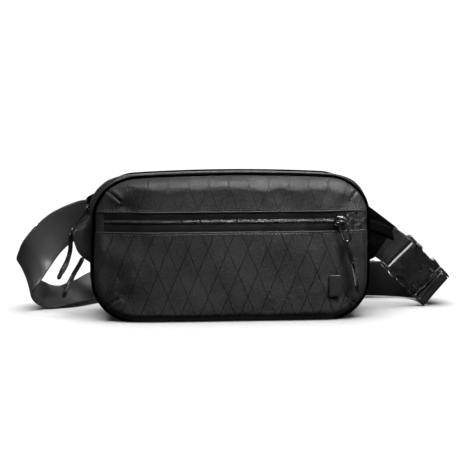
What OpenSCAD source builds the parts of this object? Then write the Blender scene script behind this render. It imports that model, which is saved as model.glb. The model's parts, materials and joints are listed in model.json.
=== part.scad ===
// Sling bag: a rounded two-part fabric body that opens like a clamshell,
// a zipped front pocket, zip pulls on cords, and a webbing strap with a
// side-release buckle. X runs to the right, Y to the back, Z up, and the
// origin is the middle of the flat bottom.

/* [Body] */
// Width of the body over the gusset
body_w = 280; // [272:1:288]
// Height of the body
body_h = 149; // [145:1:153]
// Radius of the body's four corners, seen from the front
corner_r = 48; // [44:1:50]
// Thickness of the gusset fabric with its foam
gusset_t = 1.8; // [1.2:0.1:2.4]
// Height at which the main zip ends on both sides
zip_end_z = 58; // [52:1:60]
// Thickness of the front panel's laminate
panel_t = 1.5; // [1:0.1:2]

/* [Front pocket] */
// Lower edge of the pocket's zip window
slot_lo = 91; // [88:1:92]
// Upper edge of the pocket's zip window
slot_hi = 112; // [111:1:114]
// Width of the closed coil
coil_w = 3.4; // [3:0.1:4]

/* [Strap] */
// Width of the webbing
web_w = 38; // [36:0.5:38]
// Thickness of the webbing
web_t = 1.8; // [1.4:0.1:1.8]

/* [Buckle] */
// Angle of the hanging buckle below the horizontal
buckle_tilt = 45.5; // [44:0.5:46]
// Width of the female half over its shoulders
buckle_w = 46; // [45:0.5:48]
// Thickness of the female half
buckle_t = 12; // [11.5:0.5:12.5]

/* [Hidden] */

y_front = -28;      // front edge of the lower gusset and hinge line of the front
y_back = 34.5;      // rear edge of the gusset
hw = body_w/2;
cx = hw - corner_r; // corner centres
cz = body_h - corner_r;

black = [0.07, 0.07, 0.075];
fabric = [0.10, 0.10, 0.11];
grey = [0.2, 0.2, 0.21];

// ---- outlines, all in the XZ plane, inset by o ----
function arc(x, z, r, a0, a1, n=8) = [for (k=[0:n]) let(a=a0+(a1-a0)*k/n) [x+r*cos(a), z+r*sin(a)]];
function outline(o) = concat(
  arc(-cx, corner_r, corner_r-o, 180, 270), arc(cx, corner_r, corner_r-o, 270, 360),
  arc(cx, cz, corner_r-o, 0, 90), arc(-cx, cz, corner_r-o, 90, 180));

module prism(y0, y1) translate([0, y1, 0]) rotate([90, 0, 0]) linear_extrude(y1-y0) children();
module slab(y0, y1, o) prism(y0, y1) polygon(outline(o));
module ring(y0, y1, o0, o1) prism(y0, y1) difference() { polygon(outline(o0)); polygon(outline(o1)); }
// the same ring above or below the height where the zip ends
module ring_up(y0, y1, o0, o1) prism(y0, y1) difference() {
  polygon(outline(o0)); polygon(outline(o1)); translate([-200, -1]) square([400, zip_end_z+1]); }
module ring_low(y0, y1, o0, o1) prism(y0, y1) difference() {
  polygon(outline(o0)); polygon(outline(o1)); translate([-200, zip_end_z]) square([400, 200]); }
// keeps a sewn-on piece outside the bag: flush on the rear half, clear of the front half
module outside() difference() { children(); slab(3.8, 60, 0); slab(-60, 3.81, -0.75); }

// ---- surfaces with a thickness, from two grids of points ----
module sheet(A, B) {
  m = len(A); n = len(A[0]);
  pts = concat([for (r=A) for (p=r) p], [for (r=B) for (p=r) p]);
  N = m*n;
  f = concat(
    [for (i=[0:m-2]) for (j=[0:n-2]) [i*n+j, i*n+j+1, (i+1)*n+j+1]],
    [for (i=[0:m-2]) for (j=[0:n-2]) [i*n+j, (i+1)*n+j+1, (i+1)*n+j]],
    [for (i=[0:m-2]) for (j=[0:n-2]) [N+i*n+j, N+(i+1)*n+j+1, N+i*n+j+1]],
    [for (i=[0:m-2]) for (j=[0:n-2]) [N+i*n+j, N+(i+1)*n+j, N+(i+1)*n+j+1]],
    [for (j=[0:n-2]) [j, N+j, N+j+1]], [for (j=[0:n-2]) [j, N+j+1, j+1]],
    [for (j=[0:n-2]) [(m-1)*n+j, N+(m-1)*n+j+1, N+(m-1)*n+j]],
    [for (j=[0:n-2]) [(m-1)*n+j, (m-1)*n+j+1, N+(m-1)*n+j+1]],
    [for (i=[0:m-2]) [i*n, N+(i+1)*n, N+i*n]], [for (i=[0:m-2]) [i*n, (i+1)*n, N+(i+1)*n]],
    [for (i=[0:m-2]) [i*n+n-1, N+i*n+n-1, N+(i+1)*n+n-1]],
    [for (i=[0:m-2]) [i*n+n-1, N+(i+1)*n+n-1, (i+1)*n+n-1]]);
  polyhedron(pts, f);
}

// ---- vectors, tubes and ribbons ----
function unit(v) = v/norm(v);
function tangent(P, i) = unit(P[min(i+1, len(P)-1)] - P[max(i-1, 0)]);
function ortho(w, t) = unit(w - (w*t)*t);
// a tube through the points P; the ring's first axis is kept near the reference vector
module tube(P, r, sides=8, ref=[0, 1, 0]) {
  n = len(P);
  pts = [for (i=[0:n-1]) let(t=tangent(P, i), a=ortho(ref, t), b=cross(t, a))
    for (k=[0:sides-1]) P[i] + r*(cos(360*k/sides)*a + sin(360*k/sides)*b)];
  f = concat([[for (k=[0:sides-1]) k]], [[for (k=[sides-1:-1:0]) (n-1)*sides+k]],
    [for (i=[0:n-2]) for (k=[0:sides-1]) let(q=(k+1)%sides) [i*sides+k, (i+1)*sides+k, (i+1)*sides+q]],
    [for (i=[0:n-2]) for (k=[0:sides-1]) let(q=(k+1)%sides) [i*sides+k, (i+1)*sides+q, i*sides+q]]);
  polyhedron(pts, f);
}
// a closed wire ring: a long loop from p to q, half as wide as h, in the plane of the way and w
module wire_ring(p, q, h, w, r) {
  d = unit(q-p); e = ortho(w, d);
  P = concat([for (k=[0:8]) p - h*cos(-90+180*k/8)*d + h*sin(-90+180*k/8)*e],
             [for (k=[0:8]) q + h*cos(-90+180*k/8)*d - h*sin(-90+180*k/8)*e]);
  n = len(P); s = 8; up = cross(d, e);
  pts = [for (i=[0:n-1]) let(t=unit(P[(i+1)%n]-P[(i+n-1)%n]), b=cross(t, up))
    for (k=[0:s-1]) P[i] + r*(cos(360*k/s)*up + sin(360*k/s)*b)];
  f = concat(
    [for (i=[0:n-1]) for (k=[0:s-1]) let(j=(i+1)%n, l=(k+1)%s) [i*s+k, j*s+l, j*s+k]],
    [for (i=[0:n-1]) for (k=[0:s-1]) let(j=(i+1)%n, l=(k+1)%s) [i*s+k, i*s+l, j*s+l]]);
  polyhedron(pts, f);
}
// a ribbon of webbing: P holds the middle of each station, W the way across it
module ribbon(P, W, w, t) {
  n = len(P);
  q = [for (i=[0:n-1]) let(d=tangent(P, i), a=ortho(W[i], d), b=cross(d, a))
       [P[i]-a*w/2-b*t/2, P[i]+a*w/2-b*t/2, P[i]+a*w/2+b*t/2, P[i]-a*w/2+b*t/2]];
  pts = [for (i=[0:n-1]) for (k=[0:3]) q[i][k]];
  f = concat([[0, 1, 2, 3]], [[(n-1)*4+3, (n-1)*4+2, (n-1)*4+1, (n-1)*4]],
    [for (i=[0:n-2]) for (k=[0:3]) let(l=(k+1)%4) [i*4+k, (i+1)*4+k, (i+1)*4+l]],
    [for (i=[0:n-2]) for (k=[0:3]) let(l=(k+1)%4) [i*4+k, (i+1)*4+l, i*4+l]]);
  polyhedron(pts, f);
}
module rod(p, q, r1, r2) {
  d = q-p; L = norm(d);
  translate(p) rotate([0, acos(d[2]/L), atan2(d[1], d[0])]) cylinder(h=L, r1=r1, r2=r2, $fn=24);
}

// ---- strap route: middle of the webbing and the way across it ----
strap_shift = 3;   // moves the whole strap to the right
S_route = [[-144,33,96],[-153,30,95],[-166,24,91],[-180,18,85],[-192,15,76],[-202,16,65],
     [-209,20,53],[-213,26,42],[-213,34,32],[-208,42,22],[-199,48,15],[-187,52,12],
     [-170,60,12],[-155,73,14],[-140,80,17],[-120,80,19],[-90,77,21],[-40,74,21],
     [40,72,21],[120,72,21],[160,72,21],[182,71,20],[197,65,20],[208,55,20],[214,45,19],[216,35,19]];
S = [for (p=S_route) p + [strap_shift, 0, 0]];
V = [[0,0,1],[-0.1,0,1],[-0.2,0,1],[-0.4,0,0.9],[-0.5,0,0.9],[-0.5,0,0.9],
     [-0.4,0.1,0.9],[-0.4,0.2,0.9],[-0.3,0.4,0.8],[-0.2,0.6,0.7],[-0.1,0.8,0.6],[0,0.8,0.5],
     [0,0.8,0.4],[0,0.8,0.6],[0,0.6,0.8],[0,0.3,1],[0,0.1,1],[0,0,1],
     [0,0,1],[0,0,1],[0,0,1],[0,0,1],[0.3,0,1],[0.5,0,0.8],[0.7,0,0.8],[0.7,0,0.7]];
// distance of the two tail layers behind the strap
tail_1 = 2.7;
tail_2 = 5.6;
function S_off(i, o) = let(t=tangent(S, i), a=ortho(V[i], t)) S[i] - o*cross(t, a);
T = concat([for (i=[21:-1:16]) S_off(i, tail_1)],
           [S_off(16, (tail_1+tail_2)/2) - [1.5, 0, 0]],
           [for (i=[16:20]) S_off(i, tail_2)]);
TV = concat([for (i=[21:-1:16]) V[i]], [V[16]], [for (i=[16:20]) V[i]]);

// ---- cord routes of the three zip pulls ----
cord_p = [[112,-47,85],[114,-47,78],[117,-47,70],[119,-47,63],[121,-47,56],[123,-47,49],[124,-47,42],[125,-47,36],[126,-47,30]];
cord_a = [[-163,0,86],[-163,0,80],[-163,0,73],[-164,0,66],[-166,0,59],[-169,0,52],[-173,0,45],[-176,0,39]];
cord_b = [[-151,0,60],[-154,0,54],[-157,0,49],[-160,0,44],[-163,0,38],[-166,0,32],[-169,0,26],[-171,0,20]];

// ---- rear half ----
module back_panel() color(black) slab(y_back, 38, 1.5);
module back_foam() color(grey) slab(30.6, y_back, 3);
module back_lining() color(grey) slab(30, 30.6, 3);
module back_piping() color(black) ring(y_back, 37.6, 0, 1.5);
module lower_gusset() color(fabric) ring_low(y_front, y_back, 0, gusset_t);
module rear_gusset() color(fabric) ring_up(4, y_back, 0, gusset_t);
module main_lining() color(grey) ring_low(-25, 29.9, gusset_t, gusset_t+0.6);
module rear_zip_tape() color(black) ring_up(1.4, 4, 0.2, 1.2);
module rear_zip_coil() color(black) ring_up(0.2, 1.4, -0.2, 1.4);
module slip_pocket() color(grey) prism(28.4, 29.2) intersection() {
  polygon(outline(5)); translate([-105, 0]) square([210, 92]); }
module slip_pocket_binding() color(black) translate([-105, 27.8, 92]) cube([210, 2, 6]);

module left_hood() color(fabric) outside() difference() {
  prism(-13, 13) polygon([[-138,105],[-143,104],[-158.5,89],[-157.5,78],[-153.5,67.5],[-144,59],[-138,57]]);
  prism(-11.4, 11.4) polygon([[-138,99.5],[-142.5,99.5],[-156.5,87],[-155.8,78],[-155.5,70],[-161,40],[-138,40]]);
}
module left_wing() color(fabric) outside() prism(31, 37)
  polygon([[-137,124],[-147,118.5],[-157,80],[-155,74],[-137,62]]);
module right_wing() color(fabric) outside() prism(24, 33)
  polygon([[137,110],[149,105],[168,88],[175,72],[156,52],[137,42]]);
module right_tongue() color(fabric) outside() prism(-2, 8)
  polygon([[137,99],[152,94],[167,88],[171,74],[151,82],[137,87]]);
module wing_bartacks() color(grey) {
  translate([-149, 30.3, 76]) cube([2, 0.7, 34]);
  bk() translate([-19, -2.9, -16]) cube([1.6, 0.8, 32]);
  bk() translate([-9, -2.9, -16]) cube([1.6, 0.8, 32]);
}
module strap() color(black) ribbon(S, V, web_w, web_t);
module strap_tail() color(black) ribbon(T, TV, web_w, web_t);
module keeper(x, y0, y1) translate([x, 0, 0]) rotate([90, 0, 90]) linear_extrude(12) difference() {
  translate([y0-0.9, 0.3]) square([y1-y0+1.8, 41.2]); translate([y0, 1.2]) square([y1-y0, 39.4]); }
module strap_keepers() color(grey) { keeper(-66, 73.5, 83.2); keeper(94, 70.8, 80.4); }

// ---- buckle, drawn along its own axis: x along it, z across it ----
module bk() translate([177, 26, 60]) rotate([0, buckle_tilt, 0]) children();
module flat(t0, t1) translate([0, t1, 0]) rotate([90, 0, 0]) linear_extrude(t1-t0) children();
bw = buckle_w/2;
module short_webbing() color(black) bk() translate([0, 0, -web_w/2+0.5]) linear_extrude(web_w-1) difference() {
  union() { circle(r=4.2, $fn=32); translate([-30, -2.1]) square([30, 4.2]); }
  circle(r=2.3, $fn=32);
}
module window() { translate([21, 20]) circle(r=4, $fn=32); translate([29.5, 20]) circle(r=4, $fn=32);
  translate([21, 16]) square([8.5, 14]); translate([17, 20]) square([16.5, 10]); }
module buckle_female() color(black) bk() difference() {
  union() {
    flat(-buckle_t/2, buckle_t/2) polygon([[6,-bw+1],[12,-bw],[34,-bw],[46,-bw+2],[46,bw-2],[34,bw],[12,bw],[6,bw-1]]);
    for (s=[-1, 1]) flat(-4, 4) translate([-3.5, s*(bw-2.4)-1.4]) square([10, 2.8]);
    translate([0, 0, -bw+2]) cylinder(h=2*bw-4, r=2, $fn=32);
  }
  flat(-3.7, 3.7) translate([10, -17.5]) square([40, 35]);
  flat(-8, 8) window();
  flat(-8, 8) mirror([0, 1]) window();
}
module buckle_male() color(black) bk() {
  difference() {
    flat(-5, 5) polygon([[46.5,-20.8],[60,-20.2],[60,20.2],[46.5,20.8]]);
    flat(-6, 6) translate([49, -19.1]) square([3, 38.2]);
    flat(-6, 6) translate([53.6, -19.1]) square([7, 38.2]);
  }
  translate([57.5, 0, -19.3]) cylinder(h=38.6, r=1.7, $fn=32);
  flat(-2.6, 2.6) translate([14, -4]) square([33, 8]);
}
module arm() flat(-3.2, 3.2)
  polygon([[14.5,11.5],[18.7,15.2],[18.7,20.4],[20.4,22.4],[30,22.4],[32.2,20.4],[32.3,17],[33,13.6],[46.2,13.6],[46.2,10],[16,10]]);
module buckle_arm_upper() color(black) bk() arm();
module buckle_arm_lower() color(black) bk() mirror([0, 0, 1]) arm();
module strap_wrap() color(black) bk() translate([0, 0, -18.8]) linear_extrude(37.6) difference() {
  union() { translate([57.5, 0]) circle(r=4.1, $fn=32); translate([54.2, 2.2]) square([3.3, 1.9]); translate([54.2, -4.1]) square([3.3, 1.9]); }
  circle(r=0.1, $fn=16);
  translate([57.5, 0]) circle(r=2.2, $fn=32);
  translate([50, -2.2]) square([7.5, 4.4]);
}

// ---- front half ----
rows = [[1.5,-30.6],[2,-34],[4,-38],[7,-41],[11,-42.2]];
function low_u(o) = concat([[-hw+o, slot_lo]], arc(-cx, corner_r, corner_r-o, 180, 270), arc(cx, corner_r, corner_r-o, 270, 360), [[hw-o, slot_lo]]);
function up_a(o) = asin((slot_hi-cz)/(corner_r-o));
function high_u(o) = concat(arc(-cx, cz, corner_r-o, 180-up_a(o), 90, 10), arc(cx, cz, corner_r-o, 90, up_a(o), 10));
function grid(low, t) = let(k=len(rows)-1, U=low ? low_u(11+t) : high_u(11+t), n=len(U), a=-U[0][0]-2, z=low ? slot_lo : slot_hi)
  concat([for (r=rows) let(O=low ? low_u(r[0]+t) : high_u(r[0]+t)) [for (p=O) [p[0], r[1]+t*min(1, (-r[1]-30.6)/4), p[1]]]],
         [[for (i=[0:n-1]) [-a+2*a*i/(n-1), rows[k][1]+t, z + (low ? 0.4 : -0.4)]]]);
module front_piping() color(black) ring(-30.6, y_front-0.1, 0, 2.5);
module front_panel_lower() color(fabric) sheet(grid(true, panel_t), grid(true, 0));
module front_panel_upper() color(fabric) sheet(grid(false, 0), grid(false, panel_t));
module front_gusset() color(fabric) ring_up(-28.1, -4, 0, gusset_t);
module front_zip_tape() color(black) ring_up(-4, -1.4, 0.2, 1.2);
module front_zip_coil() color(black) ring_up(-1.4, -0.2, -0.2, 1.4);
module pocket_divider() color(grey) slab(-29.4, -28.7, 2.5);
module pocket_tape_upper() color(black) translate([-125, -40.4, 102.5+coil_w/2-0.6]) cube([250, 0.6, 10]);
module pocket_tape_lower() color(black) translate([-125, -40.4, 89]) cube([250, 0.6, 102.5-coil_w/2+0.6-89]);
module pocket_coil() color(black) translate([-124, -41.6, 102.5-coil_w/2]) cube([248, 1.2, coil_w]);
module pocket_end_tabs() color(black) for (x=[-128, 125.2]) translate([x, -41.4, 93]) cube([2.8, 1.4, 17]);
module badge() color(grey) prism(-43.4, -42.3) polygon([[97.5,47],[108.5,47],[109.5,45],[109.5,27],[108.5,25],[98.5,25],[97,27],[97,46]]);

// ---- sliders and pulls ----
module pocket_slider() color(black) {
  translate([101, -45, 98.5]) cube([9, 3.1, 8]);
  translate([105.5, -44.9, 102.5]) rotate([90, 0, 0]) cylinder(h=4.3, r=1, $fn=24);
  translate([105.5, -49.2, 102.5]) rotate([90, 0, 0]) cylinder(h=0.8, r=1.9, $fn=24);
}
module pocket_pull_loop() color(grey) wire_ring([105.6,-46.8,102.3], [112,-47,86], 2.2, [1,0,0], 0.75);
module pocket_pull_cord() color(black) tube(cord_p, 1.8);
module pocket_pull_sleeve() color(grey) rod([120,-47,59.5], [124,-47,42], 2.4, 2.8);

module main_slider_a() color(black) {
  translate([-cx, 0, cz]) rotate([0, 12, 0]) translate([-hw+cx-3.6, -4.5, -5]) cube([3.1, 9, 10]);
  translate([-142, 0, 111.5]) rotate([0, -90, 0]) cylinder(h=8, r=1, $fn=24);
  translate([-149.9, 0, 111.5]) rotate([0, -90, 0]) cylinder(h=0.8, r=1.9, $fn=24);
}
module pull_loop_a() color(grey) wire_ring([-146.7,0,111.4], [-162,0,88], 2.2, [0,1,0], 0.75);
module pull_cord_a() color(black) tube(cord_a, 1.8);
module pull_sleeve_a() color(grey) rod([-165,0,62], [-174,0,43], 2.4, 2.8);

module main_slider_b() color(black) {
  translate([-hw-3.6, -4.5, 66]) cube([3.1, 9, 10]);
  translate([-hw-3.4, 0, 71]) rotate([0, -90, 0]) cylinder(h=5, r=1, $fn=24);
  translate([-hw-8.3, 0, 71]) rotate([0, -90, 0]) cylinder(h=0.8, r=1.9, $fn=24);
}
module pull_loop_b() color(grey) wire_ring([-146,0,70.8], [-150,0,62], 2.2, [0,1,0], 0.75);
module pull_cord_b() color(black) tube(cord_b, 1.8);
module pull_sleeve_b() color(grey) rod([-161,0,42], [-168,0,28], 2.4, 2.8);

back_panel();
back_foam();
back_lining();
back_piping();
lower_gusset();
rear_gusset();
main_lining();
rear_zip_tape();
rear_zip_coil();
slip_pocket();
slip_pocket_binding();
left_hood();
left_wing();
right_wing();
right_tongue();
wing_bartacks();
strap();
strap_tail();
strap_keepers();
short_webbing();
buckle_female();
front_piping();
front_panel_lower();
front_panel_upper();
front_gusset();
front_zip_tape();
front_zip_coil();
pocket_divider();
pocket_tape_upper();
pocket_tape_lower();
pocket_coil();
pocket_end_tabs();
badge();
pocket_slider();
pocket_pull_loop();
pocket_pull_cord();
pocket_pull_sleeve();
main_slider_a();
pull_loop_a();
pull_cord_a();
pull_sleeve_a();
main_slider_b();
pull_loop_b();
pull_cord_b();
pull_sleeve_b();
buckle_male();
buckle_arm_upper();
buckle_arm_lower();
strap_wrap();
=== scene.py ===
import json, math
import bpy, bmesh
import numpy as np
from mathutils import Vector, Matrix, noise

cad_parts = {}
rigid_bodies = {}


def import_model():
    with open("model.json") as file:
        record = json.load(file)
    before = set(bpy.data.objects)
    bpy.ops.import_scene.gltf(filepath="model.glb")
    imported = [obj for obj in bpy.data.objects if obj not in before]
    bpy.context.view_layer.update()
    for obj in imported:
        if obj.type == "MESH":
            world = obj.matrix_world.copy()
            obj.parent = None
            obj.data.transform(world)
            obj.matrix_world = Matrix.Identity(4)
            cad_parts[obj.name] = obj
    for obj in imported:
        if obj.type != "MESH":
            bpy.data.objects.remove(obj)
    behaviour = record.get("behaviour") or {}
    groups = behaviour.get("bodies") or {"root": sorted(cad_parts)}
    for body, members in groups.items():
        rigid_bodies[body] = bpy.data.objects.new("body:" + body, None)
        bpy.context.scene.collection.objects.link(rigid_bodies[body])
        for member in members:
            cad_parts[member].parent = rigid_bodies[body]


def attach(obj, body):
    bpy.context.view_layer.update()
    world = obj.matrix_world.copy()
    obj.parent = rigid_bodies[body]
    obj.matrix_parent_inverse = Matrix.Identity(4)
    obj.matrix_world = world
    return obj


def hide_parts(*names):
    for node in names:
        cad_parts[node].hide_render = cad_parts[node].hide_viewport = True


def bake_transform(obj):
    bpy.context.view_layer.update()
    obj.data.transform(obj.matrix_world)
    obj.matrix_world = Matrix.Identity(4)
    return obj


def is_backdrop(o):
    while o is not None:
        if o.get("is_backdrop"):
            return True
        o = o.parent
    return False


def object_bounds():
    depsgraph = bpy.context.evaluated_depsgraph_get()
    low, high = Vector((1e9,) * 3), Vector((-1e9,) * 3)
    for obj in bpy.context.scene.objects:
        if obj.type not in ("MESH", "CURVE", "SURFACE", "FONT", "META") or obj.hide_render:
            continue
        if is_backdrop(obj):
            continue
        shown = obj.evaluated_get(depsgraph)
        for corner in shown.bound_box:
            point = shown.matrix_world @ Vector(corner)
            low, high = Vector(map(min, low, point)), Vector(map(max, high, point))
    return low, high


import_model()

CAD_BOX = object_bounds()
MM = 0.001
R_, F_ = "rear_half", "front_half"
sc = bpy.context.scene

# ------------------------------------------------------------------ camera
cam_data = bpy.data.cameras.new("camera")
cam_data.lens, cam_data.sensor_width, cam_data.sensor_fit = 115.63, 36.0, "HORIZONTAL"
cam_data.clip_start, cam_data.clip_end = 0.05, 50
cam = bpy.data.objects.new("camera", cam_data)
sc.collection.objects.link(cam)
CAM_AZ, CAM_PITCH, CAM_DIST = math.radians(-4.0), math.radians(9.1), 1.540
CAM_TGT = Vector((0.0036, 0.0, 0.0838))
look = Vector((math.sin(-CAM_AZ) * math.cos(CAM_PITCH), math.cos(CAM_AZ) * math.cos(CAM_PITCH), -math.sin(CAM_PITCH)))
cam.location = CAM_TGT - look * CAM_DIST
cam.rotation_euler = look.to_track_quat("-Z", "Y").to_euler()
sc.camera = cam

# ------------------------------------------------------------------ nodes
class Nt:
    """A short way to write a node tree."""
    def __init__(self, name):
        self.m = bpy.data.materials.new(name)
        self.m.use_nodes = True
        self.t = self.m.node_tree
        self.b = self.t.nodes["Principled BSDF"]
    def add(self, kind, **kw):
        n = self.t.nodes.new(kind)
        for k, v in kw.items():
            setattr(n, k, v)
        return n
    def link(self, a, b):
        self.t.links.new(a, b)
    def val(self, n, i, v):
        if isinstance(v, (int, float, tuple, list)):
            n.inputs[i].default_value = v
        else:
            self.link(v, n.inputs[i])
        return n
    def math(self, op, a, b=0.0, c=None, clamp=False):
        n = self.add("ShaderNodeMath", operation=op, use_clamp=clamp)
        self.val(n, 0, a); self.val(n, 1, b)
        if c is not None:
            self.val(n, 2, c)
        return n.outputs[0]
    def ramp(self, x, a, b, c=0.0, d=1.0, smooth=True):
        n = self.add("ShaderNodeMapRange", interpolation_type="SMOOTHSTEP" if smooth else "LINEAR")
        for i, v in enumerate((x, a, b, c, d)):
            self.val(n, i, v)
        return n.outputs[0]
    def mix(self, f, a, b):
        n = self.add("ShaderNodeMix", data_type="RGBA")
        self.val(n, 0, f)
        for i, v in ((6, a), (7, b)):
            self.val(n, i, tuple(v) + (1,) if isinstance(v, (tuple, list)) and len(v) == 3 else v)
        return n.outputs[2]
    def uv(self):
        n = self.add("ShaderNodeUVMap", uv_map="uv")
        s = self.add("ShaderNodeSeparateXYZ")
        self.link(n.outputs[0], s.inputs[0])
        return n.outputs[0], s.outputs[0], s.outputs[1]
    def obj(self):
        n = self.add("ShaderNodeTexCoord")
        s = self.add("ShaderNodeSeparateXYZ")
        self.link(n.outputs["Object"], s.inputs[0])
        return n.outputs["Object"], s.outputs[0], s.outputs[1], s.outputs[2]
    def noise(self, vec, scale, detail=2.0, rough=0.5):
        n = self.add("ShaderNodeTexNoise")
        self.link(vec, n.inputs["Vector"])
        n.inputs["Scale"].default_value = scale
        n.inputs["Detail"].default_value = detail
        n.inputs["Roughness"].default_value = rough
        return n.outputs[0]
    def voronoi(self, vec, scale, feature="F1"):
        n = self.add("ShaderNodeTexVoronoi", feature=feature)
        self.link(vec, n.inputs["Vector"])
        n.inputs["Scale"].default_value = scale
        return n.outputs[0]
    def bump(self, h, strength, dist, normal=None):
        n = self.add("ShaderNodeBump")
        n.inputs["Strength"].default_value = strength
        n.inputs["Distance"].default_value = dist
        self.val(n, "Height", h)
        if normal is not None:
            self.link(normal, n.inputs["Normal"])
        return n.outputs[0]
    def finish(self, color, rough, normal=None, **sockets):
        for k, v in (("Base Color", color), ("Roughness", rough)):
            if isinstance(v, tuple) and len(v) == 3:
                v = v + (1,)
            self.val(self.b, k, v)
        if normal is not None:
            self.link(normal, self.b.inputs["Normal"])
        for k, v in sockets.items():
            self.b.inputs[k.replace("_", " ")].default_value = v
        return self.m

def weave(n, u, v, pitch):
    """A plain weave: over and under threads, as a height from -1 to 1."""
    a = n.math("SINE", n.math("MULTIPLY", u, math.pi / pitch))
    b = n.math("SINE", n.math("MULTIPLY", v, math.pi / pitch))
    return n.math("MULTIPLY", a, b)

def shell_material(name, lines=(0.688, 0.792), base=(0.0054, 0.0055, 0.0057), rough=0.47, deep=1.0, spec=0.30):
    n = Nt(name)
    vec, u, v = n.uv()
    w = weave(n, u, v, 0.00055)
    cloud = n.noise(vec, 22, 3)
    fine = n.noise(vec, 900, 2)
    col = n.mix(n.ramp(cloud, 0.3, 0.7), tuple(x * 0.88 for x in base), tuple(x * 1.14 for x in base))
    grain = n.noise(vec, 420, 3, 0.7)
    col = n.mix(n.ramp(fine, 0.35, 0.7, 0, 0.6), col, tuple(x * 2.1 for x in base))
    col = n.mix(n.ramp(grain, 0.44, 0.62, 0, 0.85), col, tuple(x * 2.5 for x in base))
    h = n.math("MULTIPLY", w, 0.5)
    h = n.math("ADD", h, n.math("MULTIPLY", grain, 2.2))
    if lines:
        L = None
        for s, c in zip((1, -1), lines):
            f = n.math("ADD", n.math("MULTIPLY", u, 1 / 0.0200), n.math("MULTIPLY", v, s / 0.0480))
            f = n.math("FRACT", n.math("ADD", f, 100 + c))
            d = n.math("MULTIPLY", n.math("ABSOLUTE", n.math("SUBTRACT", f, 0.5)), 2.0)
            l = n.ramp(d, 0.948, 0.980)
            L = l if L is None else n.math("MAXIMUM", L, l)
        col = n.mix(n.math("MULTIPLY", L, 0.92 * deep), col, tuple(x * 0.12 for x in base))
        h = n.math("ADD", h, n.math("MULTIPLY", L, 6.0 * deep))
    nor = n.bump(h, 0.75, 0.00018)
    nor = n.bump(n.noise(vec, 30, 4, 0.6), 0.28, 0.0030, nor)
    nor = n.bump(n.noise(vec, 240, 2, 0.6), 0.30, 0.0006, nor)
    r = n.ramp(cloud, 0.25, 0.75, rough - 0.08, rough + 0.10)
    return n.finish(col, r, nor, Specular_IOR_Level=spec, Sheen_Weight=0.0)

def webbing_material(name, base=(0.0060, 0.0060, 0.0062), rough=0.38, pitch=0.0017):
    n = Nt(name)
    vec, u, v = n.uv()
    zig = n.math("PINGPONG", v, 0.0030)
    a = n.math("SINE", n.math("MULTIPLY", n.math("ADD", u, zig), 2 * math.pi / pitch))
    warp = n.math("SINE", n.math("MULTIPLY", v, 2 * math.pi / 0.00095))
    h = n.math("ADD", n.math("MULTIPLY", a, 0.55), n.math("MULTIPLY", warp, 0.45))
    cloud = n.noise(vec, 14, 3)
    col = n.mix(n.ramp(cloud, 0.3, 0.7), tuple(x * 0.85 for x in base), tuple(x * 1.2 for x in base))
    col = n.mix(n.ramp(h, -0.6, 0.9, 0, 0.5), col, tuple(x * 1.6 for x in base))
    nor = n.bump(h, 0.32, 0.00012)
    r = n.ramp(cloud, 0.2, 0.8, rough - 0.05, rough + 0.07)
    return n.finish(col, r, nor, Specular_IOR_Level=0.42, Sheen_Weight=0.0)

def plain_fabric(name, base, rough=0.75, pitch=0.0006, sheen=0.1, spec=0.25, strength=0.5):
    """For trim: woven through object coordinates on all three axes."""
    n = Nt(name)
    vec, x, y, z = n.obj()
    w = n.math("ADD", weave(n, n.math("ADD", x, n.math("MULTIPLY", y, 0.7)), z, pitch), weave(n, x, y, pitch))
    cloud = n.noise(vec, 60, 3)
    col = n.mix(n.ramp(cloud, 0.3, 0.7), tuple(c * 0.85 for c in base), tuple(c * 1.2 for c in base))
    nor = n.bump(w, strength, 0.00015)
    return n.finish(col, n.ramp(cloud, 0.2, 0.8, rough - 0.06, rough + 0.06), nor, Specular_IOR_Level=spec, Sheen_Weight=sheen)

def plastic(name, base=(0.0034, 0.0034, 0.0036), rough=0.25, grain=1800, spec=0.6, strength=0.12):
    n = Nt(name)
    vec, x, y, z = n.obj()
    g = n.noise(vec, grain, 2)
    s = n.noise(vec, 90, 5, 0.65)
    nor = n.bump(g, strength, 0.00006)
    nor = n.bump(n.noise(vec, 120, 2), 0.05, 0.0006, nor)
    r = n.ramp(s, 0.30, 0.72, rough - 0.05, rough + 0.12)
    col = n.mix(n.ramp(s, 0.45, 0.75), base, tuple(c * 1.6 for c in base))
    return n.finish(col, r, nor, Specular_IOR_Level=spec)

def cord_material(name, base=(0.0009, 0.0009, 0.0010)):
    n = Nt(name)
    vec, u, v = n.uv()          # u along the cord, v round it, in metres
    p = 0.0011
    a = n.math("SINE", n.math("MULTIPLY", n.math("ADD", u, v), 2 * math.pi / p))
    b = n.math("SINE", n.math("MULTIPLY", n.math("SUBTRACT", u, v), 2 * math.pi / p))
    h = n.math("MULTIPLY", a, b)
    col = n.mix(n.ramp(h, -0.7, 0.8), tuple(c * 0.6 for c in base), tuple(c * 1.9 for c in base))
    return n.finish(col, 0.6, n.bump(h, 0.7, 0.0002), Specular_IOR_Level=0.12, Sheen_Weight=0.0)

def air_mesh(name):
    n = Nt(name)
    vec, u, v = n.uv()
    d = n.voronoi(vec, 420, "DISTANCE_TO_EDGE")
    hole = n.ramp(d, 0.08, 0.26)
    w = weave(n, u, v, 0.0007)
    col = n.mix(hole, (0.034, 0.034, 0.035), (0.006, 0.006, 0.0062))
    h = n.math("ADD", n.math("MULTIPLY", hole, -1.0), n.math("MULTIPLY", w, 0.15))
    return n.finish(col, 0.85, n.bump(h, 0.8, 0.0006), Specular_IOR_Level=0.2, Sheen_Weight=0.15)

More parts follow.
